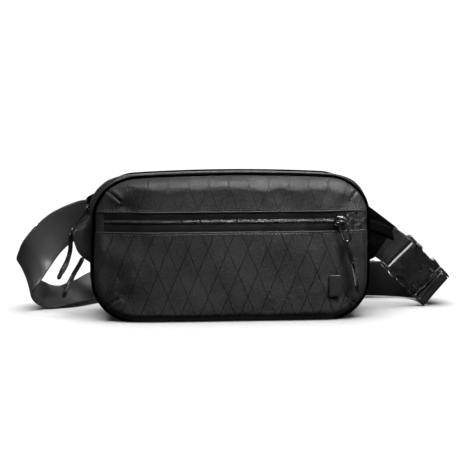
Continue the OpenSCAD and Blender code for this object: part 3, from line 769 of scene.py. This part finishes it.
def back_y(x, z):
    d = float(inside(x, z))
    y = 35.0 + 3.4 * math.sin(min(1, max(0, d - 1) / 9) * math.pi / 2)
    for c in (-50, 50):
        y -= 2.6 * math.exp(-(((x - c - 0.10 * math.copysign(1, c) * (z - 74)) / 2.4) ** 2)) * float(smooth01((d - 5) / 6))
    y -= 1.3 * math.exp(-((d - 13) / 1.6) ** 2)
    return y + 0.35 * nz(x * 0.05, z * 0.05, 6) * float(smooth01(d / 10)) + 0.14 * nz(x * 0.2, z * 0.2, 3)
bp = panel("back_pad_mesh", 1.6, back_y, 2.2, "mesh", R_, flip=True)
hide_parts("back_panel")
foam = panel("back_pad_foam", 3.2, lambda x, z: 34.2 + 0.12 * nz(x * 0.1, z * 0.1), 3.2, "foam", R_, flip=True)
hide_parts("back_foam")
bl = panel("back_lining_cloth", 3.2, lambda x, z: 30.6 + 0.25 * nz(x * 0.04, z * 0.04, 2) - 0.2, 0.5, "lining", R_, flip=True)
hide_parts("back_lining")
sp = panel("slip_pocket_cloth", 5.5, lambda x, z: 28.9 + 0.45 * nz(x * 0.05, z * 0.05, 4) - 0.5 * math.exp(-((z - 92) / 9) ** 2) * math.cos(x * 0.03), 0.6, "lining", R_, flip=True, z_cut=92, x_cut=105)
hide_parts("slip_pocket")
xs = np.linspace(-105, 105, 90)
bind = np.stack([xs, 28.6 + np.array([0.4 * nz(x * 0.05, 4.6) - 0.5 * math.cos(x * 0.03) for x in xs]), np.full(90, 92.5)], 1)
sb = tube("slip_pocket_edge", bind, 1.0, "elastic", R_, "elastic", sides=12, ref=(0, 0, 1), squash=0.45)
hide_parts("slip_pocket_binding")
dv = panel("pocket_divider_cloth", 2.8, lambda x, z: -28.9 + 0.35 * nz(x * 0.05, z * 0.05, 9), 0.5, "lining", F_, flip=False)
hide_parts("pocket_divider")
LL = np.array([nz(a * 0.04, b * 0.04) for a, b in LOOP])
rows = []
for y in np.linspace(-26.5, 29.6, 30):
    S3 = skin(y, -2.4, 0.6)
    rows.append(S3[LOWER])
ml = grid("main_lining_cloth", np.array(rows), "lining", None, uv=np.stack([np.tile(ARC[:1].repeat(len(LOWER)) + np.arange(len(LOWER)), (30, 1)), np.tile(np.linspace(-26.5, 29.6, 30)[:, None], (1, len(LOWER)))], 2), thick=0.5)
for v in ml.data.vertices:
    v.co.z = max(v.co.z, 0.0022)
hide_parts("main_lining")
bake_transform(ml)

# ------------------------------------------------------------------ soft flaps: wings, tongue, badge
def soft_prism(name, poly, y0, y1, mat, body, r=0.9, step=1.6, wr=0.4, crown_=0.3, seed=1.0, to=None, flatcap=False, K=9, sm=2):
    """A closed flap or block from an outline in the XZ plane, with rolled edges and crowned faces."""
    P = np.asarray(poly, float)
    n = int(np.linalg.norm(np.diff(np.vstack([P, P[:1]]), axis=0), axis=1).sum() / step)
    L = resample(np.vstack([P, P[:1]]), n + 1)[0][:-1]
    for _ in range(sm):
        L = 0.5 * L + 0.25 * (np.roll(L, 1, 0) + np.roll(L, -1, 0))
    T = np.roll(L, -1, 0) - np.roll(L, 1, 0); T /= np.linalg.norm(T, axis=1)[:, None]
    N = np.stack([T[:, 1], -T[:, 0]], 1)
    area = 0.5 * np.sum(L[:, 0] * np.roll(L[:, 1], -1) - np.roll(L[:, 0], -1) * L[:, 1])
    if area < 0:
        N = -N
    c = L.mean(0)
    rr = min(r, (y1 - y0) / 2)
    edge = [(rr * (1 - math.sin(a)), rr * (1 - math.cos(a))) for a in np.linspace(0, math.pi / 2, 5)]
    rows = []
    def face(sign, y):
        out = []
        for k in range(K - 1, 0, -1):
            f = 1 - (k / K)
            G = c + (L - N * rr - c) * f
            h = crown_ * (1 - f * f)
            out.append(np.stack([G[:, 0], y + sign * (h + np.array([wr * nz(a * 0.09 + seed, b * 0.09, seed) * (1 - f ** 6) for a, b in G])), G[:, 1]], 1))
        return out
    rows += face(-1, y0)
    for ins, dy in edge:
        G = L - N * ins
        rows.append(np.stack([G[:, 0], np.full(n, y0 + dy), G[:, 1]], 1))
    for ins, dy in edge[::-1]:
        G = L - N * ins
        rows.append(np.stack([G[:, 0], np.full(n, y1 - dy), G[:, 1]], 1))
    rows += face(1, y1)[::-1]
    V = np.array(rows).reshape(-1, 3)
    F = grid_faces(len(rows), n, False, True)
    a0 = len(V)
    V = np.vstack([V, [c[0], y0 - crown_, c[1]], [c[0], y1 + crown_, c[1]]])
    F += [(a0, (j + 1) % n, j) for j in range(n)]
    F += [(a0 + 1, (len(rows) - 1) * n + j, (len(rows) - 1) * n + (j + 1) % n) for j in range(n)]
    uv = V[:, [0, 2]].copy()
    if to is not None:
        V = np.array([to(v) for v in V])
    return outward(make(name, V, F, mat, body, uv))

# the wings and the tongue use the near-black shell copy: painted shade where they sit recessed beside the bag
lw = soft_prism("wing_left", [[-137,124],[-147,118.5],[-157,80],[-155,74],[-137,62]], 30.8, 36.6, "shell_painted_shade", R_, r=1.6, wr=1.0, crown_=0.5, seed=3)
rw = soft_prism("wing_right", [[137,110.5],[149,106],[170,90],[179,83],[182,77],[168,64],[156,52],[137,42]], 28.6, 33.6, "shell_painted_shade", R_, r=2.2, wr=1.3, crown_=0.6, seed=5)
rt = soft_prism("tongue_right", [[137,99],[152,94],[167,88],[171,74],[151,82],[137,87]], -1.6, 7.6, "shell_painted_shade", R_, r=1.8, wr=1.1, crown_=0.4, seed=8)
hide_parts("left_wing"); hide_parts("right_wing"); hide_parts("right_tongue")
bd = soft_prism("badge_plain", [[97,25],[109.5,25],[109.5,47],[97,47]], -43.7, -41.0, "badge", F_, r=0.7, step=0.6, wr=0.0, crown_=0.15, sm=6)
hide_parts("badge")

# the garage at the left, which covers the ends of the main zip
HO = resample(catmull([[-137.5,105.5],[-143,104],[-151,96.5],[-158.5,89],[-157.5,78],[-153.5,67.5],[-144,59],[-137.5,57]], 5), 46)[0]
rows = []
for i, (px, pz) in enumerate(HO):
    t = i / 45
    q = np.array([-136.8, 106 - 49.5 * t])
    p = np.array([px, pz])
    row = []
    for k in range(13):                       # front wall, from the body out
        w = k / 12
        g = q * (1 - w) + p * w
        puff = 1.5 * math.sin(w * math.pi * 0.9) * math.sin(t * math.pi) + 0.5 * nz(g[0] * 0.14, g[1] * 0.06, 4) + 0.55 * math.sin(g[0] * 1.05) * float(smooth01((66 - g[1]) / 6)) * 0.5
        row.append((g[0], -11.6 - puff + 1.2 * w ** 6, g[1]))
    for k in range(1, 14):                    # the rolled outer wall
        a = k / 14
        y = -10.4 + 20.8 * a
        o_ = 0.9 * math.sin(a * math.pi) ** 0.6
        d = (p - q) / np.linalg.norm(p - q)
        row.append((p[0] + d[0] * o_, y, p[1] + d[1] * o_))
    for k in range(12, -1, -1):
        w = k / 12
        g = q * (1 - w) + p * w
        row.append((g[0], 11.6 + 0.8 * math.sin(w * math.pi) + 0.3 * nz(g[0] * 0.1, g[1] * 0.1, 7) - 1.2 * w ** 6, g[1]))
    rows.append(row)
P = np.array(rows)
s_l = np.concatenate([[0], np.cumsum(np.linalg.norm(np.diff(HO, axis=0), axis=1))])
uv = np.stack([P[:, :, 0], P[:, :, 2]], 2)
hd = grid("zip_garage", P, "shell_plain", R_, uv=uv, flip=True, thick=1.1, level=1)
mo = bpy.data.meshes.new("mouth")                 # the slit in the garage's underside that the lower pull comes out of
mv = [(x * MM, y * MM, z * MM) for x in (-162, -145) for y in (-8.2, 8.2) for z in (57.5, 75.5)]
mo.from_pydata(mv, [], [(0, 1, 3, 2), (4, 6, 7, 5), (0, 4, 5, 1), (2, 3, 7, 6), (0, 2, 6, 4), (1, 5, 7, 3)])
mo_ = bpy.data.objects.new("mouth", mo); sc.collection.objects.link(mo_); outward(mo_)
bm_ = hd.modifiers.new("mouth", "BOOLEAN"); bm_.operation = "DIFFERENCE"; bm_.solver = "EXACT"; bm_.object = mo_
bake(hd); bpy.data.objects.remove(mo_)
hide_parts("left_hood")
e_in = P[:, 10]
stitches("stitch_garage", P[3:43, 10] + [0, -0.25, 0], np.tile([0, -1, 0], (40, 1)), R_, length=1.9, gap=0.8)
tube("garage_rolled_edge", P[0:25, 12] + [0.3, -0.5, 0.2], 0.75 * np.sqrt(np.linspace(1, 0.4, 25)), "shell_plain", R_, "shell", sides=10)
for r_ in (27, 30, 36, 39):
    bt = np.array([P[r_, k] for k in range(1, 11)])
    stitches("bartack_garage_%d" % r_, bt + [0, -0.3, 0], np.tile([0, -1, 0], (10, 1)), R_, length=1.2, gap=0.3, r=0.42)
band = np.array([P[33, k] for k in range(1, 11)])
stitches("stitch_garage_low", band + [0, -0.3, 0], np.tile([0, -1, 0], (10, 1)), R_, length=1.4, gap=0.5, r=0.3)

# ------------------------------------------------------------------ webbing
def ribbon(name, P, A, w, t, mat, body, cols=16, cup=0.0, edge_wave=0.0, seed=0.0):
    P = np.asarray(P, float)
    T, A_, B = frames(P, A)
    s = np.concatenate([[0], np.cumsum(np.linalg.norm(np.diff(P, axis=0), axis=1))])
    h, e = w / 2, t / 2
    prof = [(a, e) for a in np.linspace(-h + e, h - e, cols)]
    prof += [(h - e + e * math.sin(q), e * math.cos(q)) for q in np.linspace(0.5, math.pi - 0.5, 5)]
    prof += [(a, -e) for a in np.linspace(h - e, -h + e, cols)]
    prof += [(-h + e - e * math.sin(q), -e * math.cos(q)) for q in np.linspace(0.5, math.pi - 0.5, 5)]
    prof = np.array(prof); m = len(prof)
    V = np.zeros((len(P), m, 3)); U = np.zeros((len(P), m, 2))
    for i in range(len(P)):
        wv = 1 + edge_wave * nz(s[i] * 0.05, seed, 1.0)
        bend = cup * (prof[:, 0] / h) ** 2 + 0.25 * edge_wave * 10 * np.array([nz(s[i] * 0.03, a * 0.05, seed + 4) for a in prof[:, 0]])
        V[i] = P[i] + (prof[:, 0] * wv)[:, None] * A_[i] + (prof[:, 1] + bend)[:, None] * B[i]
        U[i, :, 0], U[i, :, 1] = s[i], prof[:, 0]
    VV = V.reshape(-1, 3); UU = U.reshape(-1, 2)
    F = grid_faces(len(P), m, False, True)
    c0 = len(VV)
    VV = np.vstack([VV, V[0].mean(0), V[-1].mean(0)]); UU = np.vstack([UU, [0, 0], [s[-1], 0]])
    F += [(c0, (j + 1) % m, j) for j in range(m)] + [(c0 + 1, (len(P) - 1) * m + j, (len(P) - 1) * m + (j + 1) % m) for j in range(m)]
    return outward(make(name, VV, F, mat, body, UU))

S_ROUTE = [[-144,33,97.5],[-153,30,97],[-166,24,93],[-179,18,86.5],[-190,15,77],[-199.5,16,65],[-206.5,20,53],[-212,26,42],[-213,34,32],[-208,42,22],[-199,48,14],[-187,52,10.5],[-170,60,10.5],[-155,73,12.5],[-140,80,16],[-120,80,19],[-90,77,21],[-40,74,21],[40,72,21],[120,72,21],[160,72,21],[182,71,20],[197,65,20],[208,55,20],[214,45,19],[216,35,19]]
V_WAY = [[0,0,1],[-0.1,0,1],[-0.2,0,1],[-0.4,0,0.9],[-0.5,0,0.9],[-0.5,0,0.9],[-0.4,0.1,0.9],[-0.4,0.2,0.9],[-0.3,0.4,0.8],[-0.2,0.6,0.7],[-0.1,0.8,0.6],[0,0.85,0.42],[0,0.9,0.30],[0,0.88,0.42],[0,0.65,0.75],[0,0.3,1],[0,0.1,1],[0,0,1],[0,0,1],[0,0,1],[0,0,1],[0,0,1],[0.3,0,1],[0.5,0,0.8],[0.7,0,0.8],[0.7,0,0.7]]
S = np.array(S_ROUTE, float) + [3, 0, 0]
W = np.array(V_WAY, float); W /= np.linalg.norm(W, axis=1)[:, None]
S2 = np.vstack([S, [217.6, 31.4, 19.2]]); W2 = np.vstack([W, W[-1]])
SC, WC = catmull(S2, 9), catmull(W2, 9)
st = ribbon("strap_webbing", SC, WC, 38.0, 1.8, "webbing", None, cup=0.35, edge_wave=0.012, seed=2)
for v in st.data.vertices:
    v.co.z = max(v.co.z, 0.0003)
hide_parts("strap")
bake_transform(st)

def off(i, o):
    T, A, B = frames(S, W)
    return S[i] - o * np.cross(T[i], A[i])
TP = [off(i, 2.7) for i in range(21, 15, -1)] + [off(16, 4.15) - [1.9, 0, 0]] + [off(i, 5.6) for i in range(16, 21)]
TW = [W[i] for i in range(21, 15, -1)] + [W[16]] + [W[i] for i in range(16, 21)]
TC = np.vstack([resample(np.array(TP[:6]), 40)[0], [TP[5] * 0.5 + TP[6] * 0.5 + [-0.9, -0.15, 0]], [TP[6] + [-1.2, 0, 0]], [TP[7] * 0.5 + TP[6] * 0.5 + [-0.9, 0.15, 0]], resample(np.array(TP[7:]), 36)[0]])
tl = ribbon("strap_tail_webbing", TC, np.tile(W[17], (len(TC), 1)), 38.0, 1.8, "webbing", R_, cup=0.0)
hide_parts("strap_tail")

def keeper(name, x, y0, y1):
    r = 2.2
    pts = []
    for cy, cz, a0 in ((y0 + r - 0.45, 0.75 + r, 180), (y1 - r + 0.45, 0.75 + r, 270), (y1 - r + 0.45, 41.05 - r, 0), (y0 + r - 0.45, 41.05 - r, 90)):
        pts += [(x, cy + r * math.cos(math.radians(a)), cz + r * math.sin(math.radians(a))) for a in np.linspace(a0, a0 + 90, 8)]
    Q = resample(np.array(pts + [pts[0]]), 90)[0]
    return ribbon(name, Q, (1, 0, 0), 12.0, 0.9, "elastic", R_, cols=8)
k1, k2 = keeper("keeper_left", -60, 73.5, 83.2), keeper("keeper_right", 100, 70.8, 80.4)
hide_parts("strap_keepers")

# ------------------------------------------------------------------ the buckle
BC, BS = 0.700909, 0.713250
def bk(v):
    s, y, t = v
    return (177 + s * BC + t * BS, 26 + y, 60 - s * BS + t * BC)
def bkm(v):
    """The far end of the ladder leans a little against the socket."""
    s, y, t = v
    k = float(smooth01((s - 48) / 8))
    return bk((s + k * (1.3 - 0.085 * t), y, t))
def bkv(P):
    return np.array([bk(p) for p in np.asarray(P, float)])
ACROSS = (BS, 0.0, BC)
WRAP_WAY = tuple(np.array(bk((-0.085, 0, 1))) - np.array(bk((0, 0, 0))))

a = np.linspace(-115, 115, 22) * math.pi / 180
loop_ = [(-15.0, -1.15), (-12, -1.15), (-9, -1.2), (-4, -1.9)] + [(1.9 + 3.25 * math.cos(q), 3.25 * math.sin(q)) for q in a] + [(-4, 1.9), (-9, 1.2), (-12, 1.15), (-15, 1.15)]
LP = bkv([(s, y, -0.20 * max(0.0, -3 - s)) for s, y in resample(np.array(loop_), 90)[0]])
sw = ribbon("buckle_webbing", LP, ACROSS, 37.2, 1.75, "webbing", R_, cup=0.0)
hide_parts("short_webbing")
def seg(a_, b_, n=12):
    return [tuple(np.asarray(a_, float) * (1 - k / n) + np.asarray(b_, float) * k / n) for k in range(n + 1)]
fr = -2.2
for nm, s0 in (("g", -12.4), ("h", -11.2)):
    stitches("stitch_bar_" + nm, bkv(seg((s0, fr, -17), (s0, fr, 13))), np.tile([0, -1, 0], (13, 1)), R_, length=1.1, gap=0.3, r=0.30)
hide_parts("wing_bartacks")
stitches("stitch_strap_anchor", np.array([(-146.5, 31.0, z) for z in np.linspace(78, 110, 20)]), np.tile([0, -1, 0], (20, 1)), R_, length=1.1, gap=0.25, r=0.36)

def cut(o, cutters):
    for i, c in enumerate(cutters):
        m = o.modifiers.new("cut%d" % i, "BOOLEAN"); m.operation = "DIFFERENCE"; m.solver = "EXACT"; m.object = c
    bake(o)
    for c in cutters:
        bpy.data.objects.remove(c)
    return o

def block(name, poly, y0, y1, round_=0.0):
    """A plain prism in the buckle's own axes, used only as a cutter."""
    P = np.asarray(poly, float)
    n = len(P)
    to = bkm if name.startswith("cut_slot") else bk
    V = np.array([to((s, y0, t)) for s, t in P] + [to((s, y1, t)) for s, t in P])
    F = [tuple(range(n))[::-1], tuple(range(n, 2 * n))] + [(j, (j + 1) % n, n + (j + 1) % n, n + j) for j in range(n)]
    me = bpy.data.meshes.new(name)
    me.from_pydata([tuple(c * MM for c in v) for v in V], [], F)
    o = bpy.data.objects.new(name, me); sc.collection.objects.link(o)
    return outward(o)

def moulded(name, poly, y0, y1, body, mat="buckle", r=1.4, sm=3, step=0.8, to=bk):
    return soft_prism(name, poly, y0, y1, mat, body, r=r, step=step, wr=0.0, crown_=0.0, to=None if to is None else (lambda v: to((v[0], v[1], v[2]))), K=4, sm=sm)

def bevelled(o, w=0.45):
    m = o.modifiers.new("bev", "BEVEL"); m.width = w * MM; m.segments = 2; m.limit_method = "ANGLE"; m.angle_limit = math.radians(50); m.use_clamp_overlap = True
    bake(o)
    o.data.polygons.foreach_set("use_smooth", [True] * len(o.data.polygons))
    m = o.modifiers.new("wn", "WEIGHTED_NORMAL"); m.keep_sharp = False
    bake(o)
    return o

def arc2(cx, cy, r, a0, a1, n=9):
    return [(cx + r * math.cos(math.radians(q)), cy + r * math.sin(math.radians(q))) for q in np.linspace(a0, a1, n)]
def window(sg):
    if sg > 0:
        P = [(16.4, 31), (16.8, 22.6), (18.0, 20.4), (20.4, 19.1), (25, 18.5), (30, 18.5), (33.2, 19.2), (34.8, 20.8), (35.2, 31)]
    else:
        P = [(16.6, 31)] + [(28.4 - 11.2 * math.cos(math.radians(q)), 22.8 - 8.2 * math.sin(math.radians(q)) ** 0.75) for q in np.linspace(4, 176, 21)] + [(40.2, 31)]
    return block("cut_window", [(s, sg * t) for s, t in P], -9, 9)

fem = moulded("buckle_socket", [[7.3,-21.6],[12,-23],[34,-23],[45.4,-21.3],[45.4,21.6],[34,23],[14,22.6],[7.3,21.8]], -6, 6, R_, r=2.6)
cut(fem, [block("cut_mouth", [[12,-17.5],[52,-17.5],[52,17.5],[12,17.5]], -3.7, 3.7), window(1), window(-1)])
bevelled(fem, 0.8)
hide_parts("buckle_female")
for sg in (1, -1):
    moulded("buckle_cheek_%s" % ("upper" if sg > 0 else "lower"), [[-3.0, sg * 17.9], [10, sg * 17.4], [10, sg * 22.0], [0.2, sg * 22.4], [-3.0, sg * 20.8]], -4.4, 4.4, R_, r=1.7, sm=3)
tube("buckle_bar", bkv([(1.9, 0, t) for t in np.linspace(-20.5, 20.5, 12)]), 2.0, "buckle", R_, "buckle", sides=20, ref=(0, 1, 0))
# grip lines on the socket's face
for i, s0 in enumerate((38.6, 40.6, 42.6)):
    tube("buckle_grip_%d" % i, bkv([(s0, -5.95, t) for t in np.linspace(-13, 13, 14)]), 0.42, "buckle", R_, "buckle", sides=8, ref=(0, 1, 0))

male = moulded("buckle_ladder", [[46.6,-21.2],[49.4,-21.2],[49.4,21.6],[46.6,21.6]], -5, 5, "male", r=1.1, to=bkm)
moulded("buckle_ladder_mid", [[51.9,-19.5],[53.9,-19.5],[53.9,19.8],[51.9,19.8]], -4.4, 3.6, "male", r=0.8, to=bkm, step=0.6)
moulded("buckle_ladder_end", [[56.0,-19.3],[59.2,-19.3],[59.2,19.6],[56.0,19.6]], -2.1, 2.1, "male", r=1.0, to=bkm)
moulded("buckle_rail_lower", [[47,-21.3],[58,-21.0],[61.2,-19.9],[61.2,-18.8],[47,-18.8]], -4.8, 4.8, "male", r=1.2, to=bkm, step=0.6, sm=3)
moulded("buckle_rail_upper", [[47,21.7],[58,21.4],[61.2,20.3],[61.2,19.1],[47,19.1]], -4.8, 4.8, "male", r=1.2, to=bkm, step=0.6, sm=3)
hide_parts("buckle_male")
moulded("buckle_prong", [[14,-3.2],[16,-4],[48,-4],[48,4],[16,4],[14,3.2]], -2.6, 2.6, "male", r=0.9)
ARM = [[14.8,11.2],[18.8,15.2],[19.2,18.0],[21.5,19.9],[30.5,19.9],[32.6,18.4],[33.2,13.6],[47,13.6],[47,10],[17,10]]
ARM_LOW = [[14.8,11.2],[18.4,15.0],[19.6,19.0],[22.5,21.4],[33.5,21.6],[36.8,19.8],[37.6,16.5],[38.4,13.6],[47,13.6],[47,10],[17,10]]
for i, s0 in enumerate((48.4, 52.9)):
    tube("buckle_rib_%d" % i, np.array([bkm((s0, -4.7, t)) for t in np.linspace(-18.3, 18.3, 16)]), 0.85, "buckle", "male", "buckle", sides=12, ref=(0, 1, 0))
au = moulded("buckle_prong_upper", ARM, -3.2, 3.2, "arm_u", r=0.9, sm=2, step=0.6)
al = moulded("buckle_prong_lower", [[s, -t] for s, t in ARM_LOW], -3.2, 3.2, "arm_l", r=0.9, sm=2, step=0.6)
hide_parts("buckle_arm_upper"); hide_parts("buckle_arm_lower")
a = np.linspace(-150, 150, 34) * math.pi / 180
wl = [(51.0, -3.15), (54.2, -3.15)] + [(57.5 + 3.15 * math.cos(q), 3.15 * math.sin(q)) for q in np.linspace(-math.pi / 2, math.pi / 2, 16)] + [(54.2, 3.15), (51.0, 3.15)]
wp = ribbon("strap_end_wrap", [bkm((s, y, 0)) for s, y in resample(np.array(wl), 44)[0]], WRAP_WAY, 37.2, 1.8, "webbing", "male")
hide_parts("strap_wrap")

# ------------------------------------------------------------------ sliders
def slider(prefix, c, u, w, n, body, node, L=9.0, Wd=8.0):
    """c: middle of the body; u along the zip, w across it, n away from the bag."""
    c, u, w, n = (np.asarray(v, float) for v in (c, u, w, n))
    to = lambda v: tuple(c + u * v[0] + w * v[2] + n * v[1])
    shape = [[-L / 2, -Wd * 0.30], [-L * 0.30, -Wd / 2], [L * 0.28, -Wd / 2], [L / 2, -Wd * 0.36], [L / 2, Wd * 0.36], [L * 0.28, Wd / 2], [-L * 0.30, Wd / 2], [-L / 2, Wd * 0.30]]
    top = moulded(prefix + "_plate", shape, 0.25, 1.5, body, "slider", r=0.55, to=to, step=0.5)
    bot = moulded(prefix + "_base", shape, -1.5, -0.6, body, "slider", r=0.4, to=to, step=0.6)
    tube(prefix + "_core", np.array([to((-L * 0.34, q, 0)) for q in np.linspace(-1.2, 0.8, 5)]), 1.0, "slider", body, "slider", sides=14, ref=tuple(u))
    hb = 0.80 if "_a_" in prefix else 1.0
    P = catmull([(-L * 0.36, 0.9, 0), (-L * 0.34, 2.8 * hb, 0), (-L * 0.16, 4.7 * hb, 0), (L * 0.10, 5.1 * hb, 0), (L * 0.30, 3.6 * hb, 0), (L * 0.36, 0.9, 0)], 6)
    br = tube(prefix + "_bridge", np.array([to(p) for p in P]), 1.25 if prefix.startswith("pocket") else 0.75, "slider", body, "slider", sides=12, ref=tuple(w), squash=0.7)
    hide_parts(node)
slider("pocket_slider_body", (107.6, -43.6, 102.3), (1, 0, 0), (0, 0, 1), (0, -1, 0), "slider_p", "pocket_slider", 11.5, 9.6)
q = math.radians(12)
slider("main_slider_a_body", (-142.2, 0, 107.0), (0.30, 0, 0.954), (0, 1, 0), (-0.954, 0, 0.30), "slider_a", "main_slider_a")
slider("main_slider_b_body", (-142.1, 0, 71.0), (0, 0, -1), (0, 1, 0), (-1, 0, 0), "slider_b", "main_slider_b")

# ------------------------------------------------------------------ floor and light
fm = Nt("floor_white")
fm.finish((0.84, 0.84, 0.84), 0.8, None, Specular_IOR_Level=0.0)
M["floor"] = fm.m
V = [(0, 0, -0.05)] + [(60000 * math.cos(t), 60000 * math.sin(t), -0.05) for t in np.linspace(0, 2 * math.pi, 48, endpoint=False)]
fl = make("floor_disc", V, [(0, 1 + k, 1 + (k + 1) % 48) for k in range(48)], "floor", None)
fl.visible_glossy = False
fl.visible_diffuse = False
fl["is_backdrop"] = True

world = bpy.data.worlds.new("studio"); sc.world = world
world.use_nodes = True
wt = world.node_tree
bg = wt.nodes["Background"]
lp = wt.nodes.new("ShaderNodeLightPath")
mx = wt.nodes.new("ShaderNodeMapRange")
wt.links.new(lp.outputs["Is Camera Ray"], mx.inputs[0])
mx.inputs[3].default_value, mx.inputs[4].default_value = 0.07, 1.0
wt.links.new(mx.outputs[0], bg.inputs[1])
bg.inputs[0].default_value = (1, 1, 1, 1)

def area(name, loc, at, size, power, size_y=None):
    d = bpy.data.lights.new(name, "AREA"); d.energy = power; d.size = size
    if size_y:
        d.shape = "RECTANGLE"; d.size_y = size_y
    o = bpy.data.objects.new(name, d); sc.collection.objects.link(o)
    o.location = loc
    o.rotation_euler = (Vector(at) - Vector(loc)).to_track_quat("-Z", "Y").to_euler()
    return o
def beam(o, deg):
    o.data.spread = math.radians(deg)
    return o
sd = bpy.data.lights.new("sky_soft", "SUN"); sd.energy = 4.0; sd.angle = math.radians(58)
so = bpy.data.objects.new("sky_soft", sd); sc.collection.objects.link(so)
so.rotation_euler = Vector((0.03, 0.12, -1)).to_track_quat("-Z", "Y").to_euler()
beam(area("front_top", (0.19, -0.38, 0.60), (0.040, -0.03, 0.132), 0.30, 0.80, 0.20), 37)
area("front_fill", (0.05, -1.6, 0.5), (0, 0, 0.09), 0.6, 0.45)
area("back_low", (0.1, 1.5, 0.55), (0, 0, 0.06), 0.9, 6)
area("side_left", (-1.3, 0.75, 0.6), (-0.1, 0, 0.06), 0.7, 0.7)
area("side_right", (1.3, 0.75, 0.6), (0.1, 0, 0.06), 0.7, 2.4)
beam(area("left_strip", (-0.70, -0.50, 0.60), (-0.186, 0.018, 0.088), 0.05, 0.046), 5)
beam(area("left_low", (-0.45, -0.60, 0.35), (-0.168, 0.060, 0.008), 0.05, 0.040), 6)
beam(area("right_strip", (0.70, -0.55, 0.65), (0.21, 0.0, 0.05), 0.30, 0.30), 30)
beam(area("low_kick", (-0.02, -0.21, 0.02), (0.218, 0.01, 0.043), 0.05, 0.006, 0.03), 8)
off_floor = bpy.data.collections.new("off_floor")
off_floor.objects.link(fl)
off_floor.collection_objects[0].light_linking.link_state = "EXCLUDE"
only_floor = bpy.data.collections.new("only_floor")
only_floor.objects.link(fl)
so.light_linking.receiver_collection = only_floor
sb = bpy.data.lights.new("sky_bag", "SUN"); sb.energy = 2.1; sb.angle = math.radians(50)
sq = bpy.data.objects.new("sky_bag", sb); sc.collection.objects.link(sq)
sq.rotation_euler = Vector((0.02, 0.36, -1)).to_track_quat("-Z", "Y").to_euler()
sq.light_linking.receiver_collection = off_floor
for o in sc.objects:
    if o.type == "LIGHT" and o.data.type == "AREA":
        o.light_linking.receiver_collection = off_floor
# edge lights that only the moulded and lacquered pieces see
gloss = bpy.data.collections.new("gloss_pieces")
for o in sc.objects:
    if o.type == "MESH" and o.name in MINE and o.name != "buckle_webbing" and o.name.startswith(("buckle_", "wire_", "sleeve_", "pocket_slider", "main_slider")):
        gloss.objects.link(o)
for nm, loc, at, size, power in (("edge_low", (-0.09, -0.09, -0.17), (0.21, 0.02, 0.05), 0.15, 2.2), ("edge_high", (0.46, -0.05, 0.30), (0.20, 0.02, 0.06), 0.14, 0.9)):
    o = area(nm, loc, at, size, power)
    o.light_linking.receiver_collection = gloss
    o.light_linking.blocker_collection = gloss
sc.view_settings.view_transform = "Standard"
sc.view_settings.look = "None"

# the top edge slopes: the front piping sits a little higher than the back one
for o in list(sc.objects):
    if o.type != "MESH" or o.name == "floor_disc" or o.name not in MINE or not len(o.data.vertices):
        continue
    n_ = len(o.data.vertices)
    C_ = np.empty(n_ * 3); o.data.vertices.foreach_get("co", C_); C_ = C_.reshape(-1, 3)
    w_ = smooth01((C_[:, 2] / MM - 112) / 30)
    if w_.max() <= 0:
        continue
    C_[:, 2] += 2.1 * MM * w_ * np.clip(-C_[:, 1] / MM / 38, -0.95, 1.1)
    o.data.vertices.foreach_set("co", C_.ravel()); o.data.update()

def nums(x):
    if hasattr(x, "__len__") and not isinstance(x, str):
        return [nums(v) for v in x]
    return float(x)
{"cad": nums(CAD_BOX), "visual": nums(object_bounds())}
